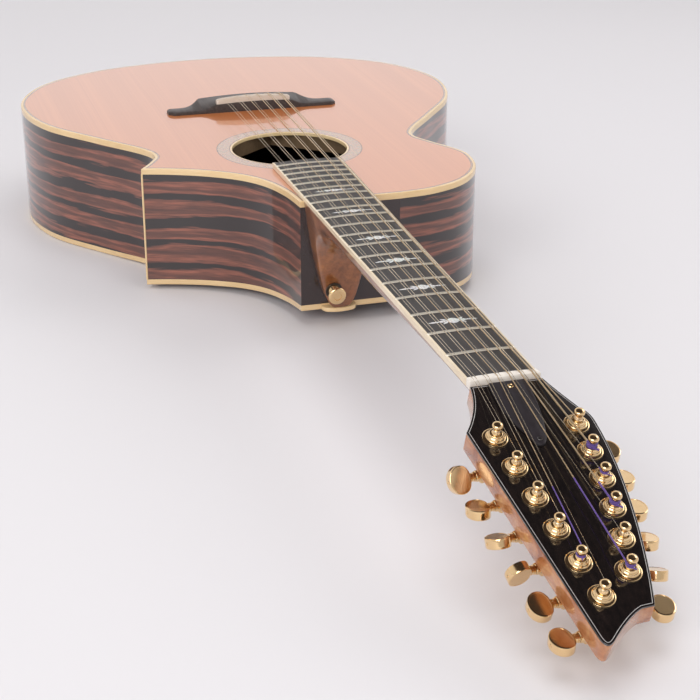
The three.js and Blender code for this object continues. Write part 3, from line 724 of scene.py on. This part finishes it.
def make_linings():
    """Kerfed strips that glue the plates to the sides, seen through the hole."""
    for name, height_at, start, end in [
        ("lining_top", top_at, -TOP_THICKNESS - 9, -TOP_THICKNESS - 0.3),
        ("lining_back", back_at, BACK_THICKNESS + 0.3, BACK_THICKNESS + 9),
    ]:
        rows = [(SIDE_THICKNESS + 0.2, height_at, start), (SIDE_THICKNESS + 0.2, height_at, end),
                (SIDE_THICKNESS + 6, height_at, end), (SIDE_THICKNESS + 3, height_at, start)]
        if name == "lining_back":
            rows[2] = (SIDE_THICKNESS + 3, height_at, end)
            rows[3] = (SIDE_THICKNESS + 6, height_at, start)
        # The linings' near-black wood colour is painted shade of the inside of the body.
        piece(name, rim_band(rows), ROW, BLOCK_WOOD_PAINTED_SHADE)


def finish_inside():
    # Blocks, braces and bridge plate get the darkened wood, which is painted shade inside the body.
    for name, finish in [("neck_block", BLOCK_WOOD_PAINTED_SHADE), ("tail_block", BLOCK_WOOD_PAINTED_SHADE), ("x_brace", SPRUCE_PAINTED_SHADE),
                         ("back_bracing", SPRUCE_PAINTED_SHADE), ("bridge_plate", BLOCK_WOOD_PAINTED_SHADE),
                         ("truss_rod", ROD_STEEL)]:
        node = frame["nodes"][name]
        node.data.materials.clear()
        node.data.materials.append(finish)


# ---------- the bridge ----------
BRIDGE_FRONT = 0.2
BRIDGE_REAR = 34.5
BRIDGE_WING_REAR = 17.5
BRIDGE_BLOCK_HALF = 49.0
BRIDGE_HALF = 84.0
BRIDGE_SWEEP_END = 72.0
BRIDGE_HEIGHT = 9.2
BRIDGE_SHOULDER = 7.0
WING_HEIGHT = 3.2
SCOOP_LENGTH = 17.0
SCOOP_FRONT = 40.0
SCOOP_REAR = 50.0
SADDLE_HALF = 36.8
SADDLE_FRONT = 1.5
SADDLE_REAR = 7.1
SADDLE_TOP = 15.0
SADDLE_RADIUS = 280.0


def bridge_height(x, scoop_start):
    """The bridge's thickness: crowned under the strings, scooped down to thin wings."""
    out = min(abs(x) / BRIDGE_BLOCK_HALF, 1.0)
    crown = BRIDGE_HEIGHT - (BRIDGE_HEIGHT - BRIDGE_SHOULDER) * out**2
    past = clamped((abs(x) - scoop_start) / SCOOP_LENGTH)
    return WING_HEIGHT + (crown - WING_HEIGHT) * (1 - past) ** 2


def bridge_rear(x):
    """The rear edge in plan: straight behind the strings, then swept forward to the wings."""
    past = clamped((abs(x) - BRIDGE_BLOCK_HALF) / (BRIDGE_SWEEP_END - BRIDGE_BLOCK_HALF))
    return BRIDGE_WING_REAR + (BRIDGE_REAR - BRIDGE_WING_REAR) * (1 - past) ** 2.2


def saddle_crown(x):
    return SADDLE_TOP - x * x / (2 * SADDLE_RADIUS)


def make_bridge():
    stations = [BRIDGE_HALF * math.sin(math.pi / 2 * k / 46) for k in range(-46, 47)]
    edge = 0.8
    rings = []
    for x in stations:
        end = max(0.0, (abs(x) - (BRIDGE_HALF - 4)) / 4)
        corner = max(0.0, (abs(x) - (BRIDGE_HALF - (6 if x < 0 else 4))) / 6)
        front = BRIDGE_FRONT + 5.0 * corner
        rear = bridge_rear(x) - 3.5 * end**3
        top = bridge_height(x, SCOOP_FRONT) - 0.8 * end**2
        back = bridge_height(x, SCOOP_REAR) - 0.8 * end**2
        rings.append([(x, front, 0.0), (x, front, top - edge), (x, front + 0.25, top - 0.25),
                      (x, front + edge, top), (x, rear - edge * 1.6, back),
                      (x, rear - 0.4, back - 0.4), (x, rear, back - edge * 1.6), (x, rear, 0.0)])
    piece("bridge_body", loft(rings), TOP, BRIDGE_EBONY, replaces=["bridge"])
    rings = []
    for k in range(41):
        x = SADDLE_HALF * (k / 20 - 1)
        end = max(0.0, (abs(x) - SADDLE_HALF + 1.2) / 1.2)
        crown = saddle_crown(x) - 0.8 * end**2
        front, rear = SADDLE_FRONT + 0.4 * end**2, SADDLE_REAR - 0.4 * end**2
        middle = (front + rear) / 2
        rings.append([(x, front, 5.0), (x, front, crown - 1.3), (x, front + 0.9, crown - 0.3),
                      (x, middle, crown), (x, rear - 0.9, crown - 0.3), (x, rear, crown - 1.3),
                      (x, rear, 5.0)])
    piece("saddle_bone", loft(rings), TOP, SADDLE_BONE, replaces=["saddle"], crease=50)


# ---------- the neck ----------


def board_half_width(y):
    return NUT_HALF_WIDTH + (HEEL_HALF_WIDTH - NUT_HALF_WIDTH) * y / HEEL_JOINT


def board_bottom(y):
    """The board's underside: it thins from the nut to the body, then follows the sloping top."""
    if y < BOARD_ON_BODY:
        return -BOARD_NUT_THICKNESS + (BOARD_NUT_THICKNESS - BOARD_THICKNESS) * y / BOARD_ON_BODY
    past = (y - BOARD_ON_BODY) / (BOARD_LENGTH - BOARD_ON_BODY)
    return -BOARD_THICKNESS - (BOARD_END_THICKNESS - BOARD_THICKNESS) * past


def heel_half_width(z):
    """The heel narrows from the neck's width down to its cap."""
    t = clamped((NECK_TOP - z) / (NECK_TOP - HEEL_BOTTOM))
    return 29 * (1 - t) ** 2 + 46 * t * (1 - t) + 15 * t**2


def neck_rings():
    """Half-round sections along the neck, then sections fanned down round the heel."""
    count = 28
    turns = [math.pi * k / count for k in range(count + 1)]
    rings = []
    for s, half, depth in [(16, 26.0, 12.2), (9, 23.9, 12.6), (3, 23.3, 13.2)]:
        ring = []
        for turn in turns:
            x = half * math.copysign(abs(math.cos(turn)) ** 0.7, math.cos(turn))
            drop = -0.6 - depth * math.sin(turn) ** 0.7
            ring.append(pitch(HEAD_ANGLE) @ Vector((x * 0.96, -s, drop)) + HEAD_SEAT)
        rings.append(ring)
    for y in (0, 12, 40, 90, 140, 190, 240, 272):
        depth = NECK_NUT_DEPTH + NECK_SWELL * y / HEEL_JOINT
        ease = clamped((y - 40) / 160)
        half = board_half_width(y) - 1.0 + 0.9 * ease
        power = 1.25 - 0.45 * ease
        low = board_bottom(y)
        rings.append([Vector((half * math.cos(turn), y, low - depth * math.sin(turn) ** power))
                      for turn in turns])
    profile = bezier([(280, -22.4), (322, -25), (336, -34), (343, -62)], 14)
    profile += bezier([(343, -62), (344.8, -78), (346, HEEL_BOTTOM)], 5)[1:]
    profile += [Vector((y, HEEL_BOTTOM)) for y in (349.5, 353, HEEL_BACK)]
    for k, (y_low, z_low) in enumerate(profile):
        share = k / (len(profile) - 1)
        y_top = 280 + (HEEL_BACK - 280) * share
        boxy = 1 - 0.55 * clamped((-30 - z_low) / 40)
        ring = []
        for turn in turns:
            down = math.sin(turn) ** (0.8 - 0.25 * (1 - boxy))
            z_top = board_bottom(y_top)
            z = z_top + (z_low - z_top) * down
            y = y_top + (y_low - y_top) * down
            half = min(board_half_width(y), heel_half_width(z))
            x = half * math.copysign(abs(math.cos(turn)) ** boxy, math.cos(turn))
            ring.append(Vector((x, y, z)))
        rings.append(ring)
    return rings


def head_outline():
    """The head in plan, as x and s, with s growing from the nut to the tip."""
    return chained(
        bezier([(-23.8, HEAD_START), (-25.5, 22), (-39.4, 40.5)], 14),
        [(-34.8, 80), (-30.2, 119.5), (-25.6, 159), (-21, 198.5)],
        bezier([(-21, 198.5), (-19.8, 208.5), (-13.3, 202.8)], 8),
        bezier([(-13.3, 202.8), (1.5, 188.5), (10.5, 185.3)], 10),
        bezier([(10.5, 185.3), (14.3, 185), (18.1, 184.9)], 3),
        bezier([(18.1, 184.9), (34, 139), (43.6, 82), (42, 44)], 20),
        bezier([(42, 44), (41.8, 37), (37, 32)], 6),
        bezier([(37, 32), (29, 16), (24, HEAD_START)], 10),
    )


def on_head(outline):
    return [Vector((x, -s)) for x, s in outline]


def make_neck():
    outline = on_head(head_outline())
    wood_block = rounded_slab(outline, -HEAD_THICKNESS, -HEAD_FACING, 0.9)
    to_neck = NECK.inverted() @ HEAD
    piece("neck_shaft", loft(neck_rings()), NECK, MAHOGANY, replaces=["neck"], crease=50)
    piece("head_block", carried(wood_block, to_neck), NECK, HEAD_WOOD)
    plan = [(15.2, HEEL_BACK - 0.3), (14.6, 351), (12.0, 347.4), (6.5, 345.4), (0, 344.8)]
    cap = [Vector(p) for p in plan] + [Vector((-x, y)) for x, y in reversed(plan[:-1])]
    slab = rounded_slab(smooth_loop(cap), HEEL_BOTTOM - 3.8, HEEL_BOTTOM - 0.1, 0.8)
    piece("heel_cap_cream", slab, NECK, CREAM, replaces=["heel_cap"])


def smooth_loop(points):
    """A rounded run through the points, closed by a straight line."""
    return chained(smooth_curve(points, 6))


def fret_distance(number):
    return SCALE_LENGTH * (1 - 2 ** (-number / 12))


def board_surface(x):
    return -x * x / (2 * BOARD_RADIUS)


def board_strip(start, end, low_at, steps=2):
    """A lengthwise slice of the board between two shares of its half width, -1 to 1."""
    rings = []
    for y in (0.0, 120.0, 240.0, BOARD_ON_BODY, BOARD_LENGTH):
        half = board_half_width(y)
        left, right = start(half), end(half)
        tops = [left + (right - left) * k / steps for k in range(steps + 1)]
        rings.append([(x, y, board_surface(x)) for x in tops]
                     + [(right, y, low_at(y)), (left, y, low_at(y))])
    return loft(rings)


def make_board():
    wood_strip = board_strip(lambda h: BOARD_BINDING - h, lambda h: h - BOARD_BINDING, board_bottom, 14)
    piece("fingerboard_wood", wood_strip, NECK, BOARD_EBONY, replaces=["fingerboard"])
    treble = board_strip(lambda h: -h, lambda h: BOARD_BINDING - h, board_bottom)
    bass = board_strip(lambda h: h - BOARD_BINDING, lambda h: h, board_bottom)
    end_half = board_half_width(BOARD_LENGTH)
    end = block(-end_half, end_half, BOARD_LENGTH - 0.2, BOARD_LENGTH + 1.3, board_bottom(BOARD_LENGTH),
                board_surface(end_half), 0.3)
    piece("fingerboard_binding", joined(treble, bass, end), NECK, PALE_CREAM)
    for number in range(1, FRET_COUNT + 1):
        piece(f"fret_{number:02d}", fret_wire(fret_distance(number)), NECK, NICKEL, crease=60)


def fret_wire(y):
    """A half-round crown with rounded ends, bent to the board's radius."""
    half = board_half_width(y) - 0.5
    rings = []
    for k in range(25):
        x = half * math.sin(math.pi / 2 * (k / 12 - 1))
        end = math.sqrt(max(0.0, 1 - max(0.0, (abs(x) - half + 1.2) / 1.2) ** 2))
        wide, tall = 1.15 * (0.35 + 0.65 * end), 0.15 + 1.0 * end
        turns = [math.pi * t / 8 for t in range(9)]
        rings.append([(x, y + wide * math.cos(t), board_surface(x) - 0.1 + tall * math.sin(t))
                      for t in turns])
    return loft(rings)


INLAY_FRETS = [3, 5, 7, 9, 12, 15]


def leaf(x, y, length, width, turn=0.0):
    """A flat pointed leaf, as a thin slab just proud of the board."""
    upper = bezier([(-length / 2, 0), (-length / 6, width * 0.7), (length / 6, width * 0.7),
                    (length / 2, 0)], 8)
    lower = [Vector((p[0], -p[1])) for p in reversed(upper[1:-1])]
    spin = Matrix.Rotation(turn, 2)
    plan = [spin @ Vector(p) + Vector((x, y)) for p in upper + lower]
    return sheet_between(
        [plan], lambda u, v: board_surface(u) + 0.04, lambda u, v: board_surface(u) - 0.5)


def make_inlays():
    for fret in INLAY_FRETS:
        y = (fret_distance(fret) + fret_distance(fret - 1)) / 2
        room = fret_distance(fret) - fret_distance(fret - 1)
        size = min(1.0, room / 26)
        parts = [leaf(0, y, 10.0, 8.0 * size)]
        for side in (-1, 1):
            parts.append(leaf(side * 7.6, y, 5.6, 3.0 * size))
            parts.append(leaf(side * 13.0, y, 9.6, 2.0 * size))
            for tilt in (-1, 1):
                parts.append(leaf(side * 5.8, y + tilt * 2.4 * size, 6.0, 1.8 * size,
                                  side * tilt * 0.62 * size))
        piece(f"inlay_fret_{fret:02d}", joined(*parts), NECK, INLAY_SHELL)


# ---------- the strings ----------
GAUGES = [(0.25, 0.25), (0.36, 0.36), (0.58, 0.23), (0.76, 0.30), (1.00, 0.46), (1.22, 0.68)]
PLAIN_BELOW = 0.5
NUT_SPREAD = 19.3
SADDLE_SPREAD = 28.6
NUT_PAIR = 2.1
SADDLE_PAIR = 2.7
NUT_CROWN = 1.8


def string_x(index, spread, pair):
    course, second = divmod(index, 2)
    return spread * (2 * course / 5 - 1) + pair * (second - 0.5)


def make_nut():
    rings = []
    grooves = [string_x(i, NUT_SPREAD, NUT_PAIR) for i in range(STRING_COUNT)]
    stations = sorted({round(g + d, 3) for g in grooves for d in (-0.7, -0.35, 0, 0.35, 0.7)}
                      | {-23.55, -23.3, -22.8, -21.9, 21.9, 22.8, 23.3, 23.55})
    for x in stations:
        nearest = min(abs(x - g) for g in grooves)
        end = max(0.0, (abs(x) - 22.9) / 0.65)
        top = NUT_CROWN - x * x / (2 * BOARD_RADIUS) - 0.5 * end**2
        top -= 0.5 if nearest < 0.3 else (0.3 if nearest < 0.5 else 0.0)
        rings.append([(x, -6.0, -BOARD_NUT_THICKNESS), (x, -6.0, top - 0.7), (x, -5.8, top - 0.3),
                      (x, -5.2, top), (x, -0.8, top), (x, -0.4, top - 0.2), (x, -0.3, top - 0.6),
                      (x, -0.3, -BOARD_NUT_THICKNESS)])
    piece("nut_bone", loft(rings), NECK, BONE, replaces=["nut"], crease=50)


# ---------- the head ----------


def make_head():
    outline = on_head(head_outline())
    facing = rounded_slab(outline, -HEAD_FACING, 0.0, 0.5, 4)
    piece("head_face_black", facing, HEAD, HEAD_BLACK, replaces=["head_plate"])
    line = sheet_between(
        [inset(outline, 1.2), inset(outline, 1.55)], lambda x, y: 0.03, lambda x, y: -0.5)
    piece("head_line_pale", line, HEAD, LINE_GREY)
    plan = on_head(chained(
        bezier([(-12.6, HEAD_START + 0.8), (-14.2, 32), (-4.4, 50)], 10),
        bezier([(-4.4, 50), (-2.6, 60.5), (-0.8, 62), (4.8, 61.5), (6.8, 52)], 12),
        bezier([(6.8, 52), (12.5, 32), (12.4, HEAD_START + 0.8)], 10),
    ))
    piece("truss_cover_plate", rounded_slab(plan, 0.1, 2.0, 0.4), HEAD, COVER_BLACK,
          replaces=["truss_rod_cover"])
    screw = [(0, 2.0), (1.6, 2.0), (1.6, 2.5), (1.2, 2.8), (0.9, 2.8), (0.7, 2.3), (0, 2.3)]
    rim = [(0.7, 1.9), (1.9, 1.9), (1.9, 2.4), (1.5, 2.8), (1.0, 2.8), (0.7, 2.4)]
    near = shift(0.3, -8.4, 0)
    piece("cover_screw_near", carried(turned(rim, 24, endless=True), near), HEAD, GOLD)
    socket = [(0, 2.0), (0.8, 2.0), (0.8, 2.3), (0, 2.3)]
    piece("cover_screw_socket", carried(turned(socket, 16), near), HEAD, DARK_STEEL)
    far = shift(1.2, -55.5, 0)
    piece("cover_screw_far", carried(turned(screw, 24), far), HEAD, DARK_STEEL)


# ---------- the tuners ----------


def tuner_list():
    """Each tuner's name and place, read from its joints: post on Z, Y along the head, X outward."""
    joints = {joint["name"]: joint for joint in frame["joints"]}
    to_head = HEAD.inverted()
    found = []
    for row in ("treble", "bass"):
        for number in range(1, 7):
            name = f"{row}_{number}"
            post, button = joints[f"post_{name}_turn"], joints[f"button_{name}_turn"]
            place = to_head @ Vector(post["pos_m"])
            worm = to_head @ Vector(button["pos_m"])
            out = (to_head.to_3x3() @ Vector(button["axis"])).normalized()
            turn = Matrix.Rotation(math.atan2(out.y, out.x), 4, "Z")
            local = shift(place.x, place.y, 0) @ turn
            worm = local.inverted() @ worm
            found.append({"name": name, "row": row, "number": number, "frame": HEAD @ local,
                          "worm": Vector((0, worm.y, worm.z))})
    return found


BUTTON_TURNS = {
    "treble": [45, -22, -38, -80, 4, -10],
    "bass": [-5, -15, -15, -28, -41, -8],
}
BUSHING = [(3.2, -HEAD_THICKNESS), (4.7, -HEAD_THICKNESS), (4.7, 0.05), (7.75, 0.05), (7.9, 0.3),
           (7.85, 0.75), (7.45, 1.05), (7.0, 1.1), (6.2, 1.15), (5.7, 1.35), (5.4, 1.9), (5.2, 2.6),
           (5.05, 3.0), (4.6, 3.25), (4.4, 3.5), (4.3, 4.2), (4.0, 4.6), (3.6, 4.7), (3.2, 4.6)]
POST = [(0, -20), (3.0, -20), (3.0, 5.0), (2.8, 5.6), (2.35, 6.2), (POST_WAIST_RADIUS, 6.8),
        (POST_WAIST_RADIUS, 7.6), (2.3, 8.3), (2.7, 8.8), (3.1, 9.2), (3.35, 9.8), (3.4, 10.3),
        (3.3, 10.9), (2.9, 11.5), (2.2, 11.95), (1.1, 12.25), (0, 12.3)]
STEM = [(0, -4.6), (2.1, -4.6), (2.1, 4.6), (1.7, 4.8), (1.7, 13.0), (2.9, 13.2), (2.95, 13.9),
        (2.3, 14.2), (2.2, 14.8), (2.7, 15.1), (2.8, 15.7), (2.3, 16.1), (2.3, 16.7), (2.9, 17.2),
        (3.0, 18.1), (2.6, 18.8), (0, 19.2)]


def make_housing(tuner):
    """The sealed case under the head, its bushing through the head and its fixing lug."""
    flip = math.copysign(1, tuner["worm"].y)
    turns = [math.pi * (1 + k / 14) for k in range(15)]
    plan = [(7 * math.cos(t), 7 * math.sin(t)) for t in turns]
    plan += [(7.3, 1.8), (9.8, 2.3), (10, 3), (10, 8), (9.4, 9), (8.6, 9.4), (-5, 9.4), (-6.4, 8.8),
             (-7, 7.4)]
    case = rounded_slab([(x, y * flip) for x, y in plan], -27.0, -HEAD_THICKNESS - 0.1, 1.3, 4)
    dome = [(0, -26.6), (4.8, -26.6), (4.8, -27.1), (4.4, -27.5), (3.4, -27.7), (0, -27.7)]
    lug_x, lug_y = -9.0, 3.0 * flip
    lug = rounded_slab(circle(2.7, lug_x, lug_y, 20), -16.7, -HEAD_THICKNESS - 0.1, 0.3)
    arm = block(lug_x, -5.0, lug_y - 2.4, lug_y + 2.4, -16.7, -HEAD_THICKNESS - 0.1, 0.2)
    boss_profile = [(2.2, 9.0), (3.5, 9.0), (3.55, 11.8), (3.3, 12.6), (2.9, 12.9), (2.2, 12.9)]
    boss = carried(turned(boss_profile, 28, endless=True),
                   shift(0, *tuner["worm"].yz) @ Matrix.Rotation(math.pi / 2, 4, "Y"))
    name = tuner["name"]
    piece(f"housing_{name}_case", joined(case, turned(dome, 28), lug, arm, boss), tuner["frame"], GOLD,
          replaces=[f"housing_{name}"])
    piece(f"housing_{name}_bushing", turned(BUSHING, 40, endless=True), tuner["frame"], GOLD,
          crease=45)
    head = [(0, -16.4), (1.5, -16.6), (1.6, -17.2), (1.1, -17.7), (0, -17.8)]
    piece(f"housing_{name}_screw", carried(turned(head, 16), shift(lug_x, lug_y, 0)),
          tuner["frame"], GOLD)


def make_post(tuner):
    name = tuner["name"]
    piece(f"post_{name}_capstan", turned(POST, 32), tuner["frame"], GOLD,
          body=f"post_{name}", replaces=[f"post_{name}"], crease=50)


KNOB_HALF_THICKNESS = 3.1


def knob_outline():
    half = chained(
        [(16.6, 2.2)],
        bezier([(16.6, 2.2), (17.4, 6.6), (19.5, 8.7), (23, 8.7)], 10),
        bezier([(23, 8.7), (27.2, 8.7), (30.4, 5.0), (30.4, 0)], 10),
    )
    return half + [Vector((x, -y)) for x, y in reversed(half[:-1])]


def make_button(tuner):
    """An oval knob with a thick rim and flat sunken faces, on a ringed stem."""
    name = tuner["name"]
    towards_tip = math.copysign(1, tuner["worm"].y)
    turn = -towards_tip * math.radians(BUTTON_TURNS[tuner["row"]][tuner["number"] - 1])
    half = KNOB_HALF_THICKNESS
    rows = [(1.2, -half + 0.12), (1.12, -half), (0.5, -half), (0.15, -half + 0.2), (0.0, -half + 0.6),
            (0.0, -1.2)]
    rows += [(depth, -z) for depth, z in reversed(rows)]
    outline = knob_outline()[::-1]
    knob = loft([[(x, y, z) for x, y in inset(outline, depth)] for depth, z in rows])
    knob = carried(knob, Matrix.Rotation(turn, 4, "X"))
    dimple = [(0.5, 29.6), (0.5, 30.4), (0.85, 30.6), (1.2, 30.5), (1.3, 29.6)]
    stem = joined(turned(STEM, 28), turned(dimple, 16, endless=True))
    stem = carried(stem, Matrix.Rotation(math.pi / 2, 4, "Y"))
    place = tuner["frame"] @ Matrix.Translation(tuner["worm"])
    piece(f"button_{name}_knob", joined(knob, stem), place, GOLD, body=f"button_{name}",
          replaces=[f"button_{name}"], crease=32)


SILK_RUNS = {"bass_2": 1.5, "bass_3": 3.0, "bass_4": 15.0, "bass_6": 68.0, "treble_5": 52.0}
SILK_ON_RUN = 0.08
SILK_ON_POST = 0.07


def string_radius(index):
    course, second = divmod(index, 2)
    return GAUGES[course][second] / 2


def leave_post(tuner, start):
    """Where a string from start meets the post: the tangent point on the side nearer the middle."""
    local = tuner["frame"].inverted() @ start
    reach = math.hypot(local.x, local.y)
    bearing = math.atan2(local.y, local.x)
    spread = math.acos(min(1.0, (POST_WAIST_RADIUS + 0.4) / reach))
    sides = [bearing + spread, bearing - spread]
    return min(sides, key=math.cos)


def make_string(index, tuner):
    """One string: anchored behind the saddle, over saddle and nut, and wound on its post."""
    radius = string_radius(index)
    wound = 2 * radius > PLAIN_BELOW
    finish = BRONZE if wound else PLAIN_STEEL
    x_saddle = string_x(index, SADDLE_SPREAD, SADDLE_PAIR)
    x_nut = string_x(index, NUT_SPREAD, NUT_PAIR)
    crown = saddle_crown(x_saddle)
    anchor = [TOP @ Vector((x_saddle, BRIDGE_REAR + dy, z)) for dy, z in ((1.2, 2.6), (-1, 6.6))]
    over_saddle = [TOP @ Vector((x_saddle, y, crown + radius + dz))
                   for y, dz in ((6.1, -0.25), (4.3, 0.0), (2.7, -0.2))]
    nut_top = NUT_CROWN - x_nut**2 / (2 * BOARD_RADIUS) - 0.45 + radius
    over_nut = [NECK @ Vector((x_nut, y, nut_top + dz))
                for y, dz in ((-1.0, 0.0), (-3.0, 0.1), (-5.2, -0.35))]
    turn = leave_post(tuner, over_nut[-1])
    rim = POST_WAIST_RADIUS + radius
    meet = tuner["frame"] @ Vector((rim * math.cos(turn), rim * math.sin(turn), WINDING_TOP))
    silk = SILK_RUNS.get(tuner["name"], 0.0) * MM
    path = anchor + over_saddle + over_nut
    last = over_nut[-1]
    if silk:
        split = meet + (last - meet).normalized() * silk
        thread = tube([split, meet], (radius + SILK_ON_RUN) * MM, 10)
        piece(f"string_{index + 1:02d}_silk", thread, METRES, SILK)
    else:
        split = meet
    piece(f"string_{index + 1:02d}_run", tube([*path, split], radius * MM, 10), METRES, finish)
    make_winding(index, tuner, turn, radius + (SILK_ON_POST if silk else 0.0), SILK if silk else finish)


def make_winding(index, tuner, turn, radius, finish):
    """The turns on the post, each under the last, and the short end that sticks out."""
    winds = 2.2 if finish is SILK else 3.2
    local = tuner["frame"].inverted() @ (NECK @ Vector((0, -6, 0)))
    arriving = Vector((-local.x, -local.y)).normalized()
    around = Vector((-math.sin(turn), math.cos(turn)))
    sense = 1 if around.dot(arriving) > 0 else -1
    rim = POST_WAIST_RADIUS + radius
    steps = 72
    path = []
    for k in range(steps + 1):
        angle = turn + sense * 2 * math.pi * winds * k / steps
        path.append(Vector((rim * math.cos(angle), rim * math.sin(angle),
                            WINDING_TOP - 2 * radius * 0.9 * winds * k / steps)))
    out = (path[-1] - path[-2]).normalized()
    side = Vector((math.cos(angle), math.sin(angle), 0))
    length = dice.uniform(2.0, 4.5)
    for k in range(1, 6):
        curl = k / 5
        path.append(path[steps] + out * length * curl + side * length * 0.5 * curl**2
                    + Vector((0, 0, 0.8 * curl)))
    piece(f"string_{index + 1:02d}_winding", tube(path, radius, 8), tuner["frame"], finish,
          body=f"post_{tuner['name']}", crease=60)


def make_strings(tuners):
    places = {tuner["name"]: tuner for tuner in tuners}
    order = [f"treble_{n}" for n in range(1, 7)] + [f"bass_{n}" for n in range(6, 0, -1)]
    for index, name in enumerate(order):
        make_string(index, places[name])
        x = string_x(index, SADDLE_SPREAD, SADDLE_PAIR)
        ferrule = [(0.5, -0.4), (1.5, -0.4), (1.5, 0.3), (1.1, 0.6), (0.5, 0.6)]
        ring = carried(turned(ferrule, 20, endless=True),
                       shift(x, BRIDGE_REAR, 2.9) @ Matrix.Rotation(-math.pi / 2, 4, "X"))
        piece(f"string_{index + 1:02d}_ball_end", ring, TOP, GOLD)


# ---------- strap buttons ----------


HEEL_BUTTON_AT = Vector((-7, 344.1, -79.5))
TAIL_BUTTON_AT = Vector((0, TAIL_Y + 0.3, 60))


def make_strap_buttons():
    profile = [(0, 0), (5.0, 0), (5.05, 1.2), (4.2, 2.2), (3.7, 3.4), (3.55, 5.0), (3.7, 6.8),
               (4.6, 8.0), (6.4, 9.0), (7.5, 9.6), (7.65, 10.3), (7.4, 11.1), (6.6, 11.7), (5.2, 12.0),
               (3.4, 11.9), (3.1, 11.3), (0, 11.2)]
    felt = [(0, -0.1), (7.0, -0.1), (7.2, 0.4), (7.0, 0.9), (0, 0.9)]
    heel = NECK @ shift(*HEEL_BUTTON_AT) @ pitch(math.radians(95))
    tail = ROW @ shift(*TAIL_BUTTON_AT) @ pitch(math.radians(-90))
    for name, place in (("heel", heel), ("tail", tail)):
        piece(f"strap_button_{name}_knob", turned(profile, 40), place, GOLD,
              replaces=[f"strap_button_{name}"], crease=50)
        piece(f"strap_button_{name}_washer", turned(felt, 32), place, BLACK_LINE)


# ---------- floor, light and camera ----------


def make_stage():
    mesh = bpy.data.meshes.new("studio_floor")
    reach = 12.0
    corners = [(-reach, -reach, 0), (reach, -reach, 0), (reach, reach, 0), (-reach, reach, 0)]
    mesh.from_pydata(corners, [], [(0, 1, 2, 3)])
    finish = Finish("studio_paper", 0.55)
    drift = finish.noise(0.6, 2.0)
    finish.coloured(finish.ramp(drift, [(0.3, (0.78, 0.76, 0.785)), (0.7, (0.80, 0.78, 0.80))]))
    mesh.materials.append(finish.material)
    floor = bpy.data.objects.new("studio_floor", mesh)
    floor.location.z = -0.0005
    bpy.context.scene.collection.objects.link(floor)


def make_light(name, at, target, size, power, mirrored=True):
    data = bpy.data.lights.new(name, "AREA")
    data.shape = "RECTANGLE"
    data.size, data.size_y = size
    data.energy = power
    lamp = bpy.data.objects.new(name, data)
    lamp.location = at
    lamp.rotation_euler = (Vector(target) - Vector(at)).to_track_quat("-Z", "Y").to_euler()
    lamp.visible_glossy = mirrored
    bpy.context.scene.collection.objects.link(lamp)


SKY_FRONT = 0.55
SKY_BEHIND = 1.0


def make_studio():
    """A bright sky near the horizon behind the tail, dark overhead, with four soft lamps."""
    world = bpy.data.worlds.new("studio_air")
    bpy.context.scene.world = world
    world.use_nodes = True
    background = next(n for n in world.node_tree.nodes if n.type == "BACKGROUND")
    nodes, links = world.node_tree.nodes, world.node_tree.links
    direction = nodes.new("ShaderNodeSeparateXYZ")
    links.new(nodes.new("ShaderNodeTexCoord").outputs["Generated"], direction.inputs[0])
    sky = nodes.new("ShaderNodeValToRGB")
    low, high = sky.color_ramp.elements
    low.position, low.color = 0.60, (1.0, 0.98, 0.985, 1.0)
    high.position, high.color = 0.76, (0.06, 0.05, 0.05, 1.0)
    links.new(direction.outputs["Z"], sky.inputs["Fac"])
    links.new(sky.outputs["Color"], background.inputs["Color"])
    strength = nodes.new("ShaderNodeMapRange")
    strength.inputs["From Min"].default_value = -1.0
    strength.inputs["To Min"].default_value = SKY_FRONT
    strength.inputs["To Max"].default_value = SKY_BEHIND
    links.new(direction.outputs["Y"], strength.inputs["Value"])
    links.new(strength.outputs[0], background.inputs["Strength"])
    make_light("softbox_right", (1.9, 0.0, 1.4), (0.0, -0.3, 0.05), (1.0, 1.0), 8.0)
    make_light("softbox_back", (-0.5, 2.2, 1.5), (0.0, 0.0, 0.1), (2.6, 1.2), 10.0, False)
    make_light("softbox_front", (-1.6, -2.6, 1.6), (0.0, -0.4, 0.05), (2.0, 1.6), 46.0)
    make_light("softbox_above", (0.0, -0.5, 2.8), (0.0, -0.4, 0.0), (2.4, 2.4), 36.0, False)
    bpy.context.scene.view_settings.view_transform = "Standard"


def make_camera():
    """The camera stands in front of the head on the treble side, looking down along the neck."""
    data = bpy.data.cameras.new("camera")
    data.sensor_width = 36.0
    data.lens = 80.13
    data.clip_start = 0.05
    data.clip_end = 60.0
    camera = bpy.data.objects.new("camera", data)
    heading = Matrix.Rotation(math.radians(-17.151), 4, "Z")
    down = Matrix.Rotation(math.radians(90 - 24.521), 4, "X")
    roll = Matrix.Rotation(math.radians(0.605), 4, "Z")
    stand = ROW @ shift(0, NUT_Y, NUT_Z) @ pitch(NECK_PITCH) @ shift(-347.1, -805.3, 413.0)
    turn = (pitch(NECK_PITCH) @ heading @ down @ roll).to_3x3().to_4x4()
    camera.matrix_world = Matrix.Translation(stand.to_translation()) @ turn
    bpy.context.scene.collection.objects.link(camera)
    bpy.context.scene.camera = camera


make_camera()
make_plates()
make_rosette()
make_rim()
make_linings()
finish_inside()
make_bridge()
make_neck()
make_board()
make_inlays()
make_nut()
make_head()
tuners = tuner_list()
for each in tuners:
    make_housing(each)
    make_post(each)
    make_button(each)
make_strings(tuners)
make_strap_buttons()
make_stage()
make_studio()
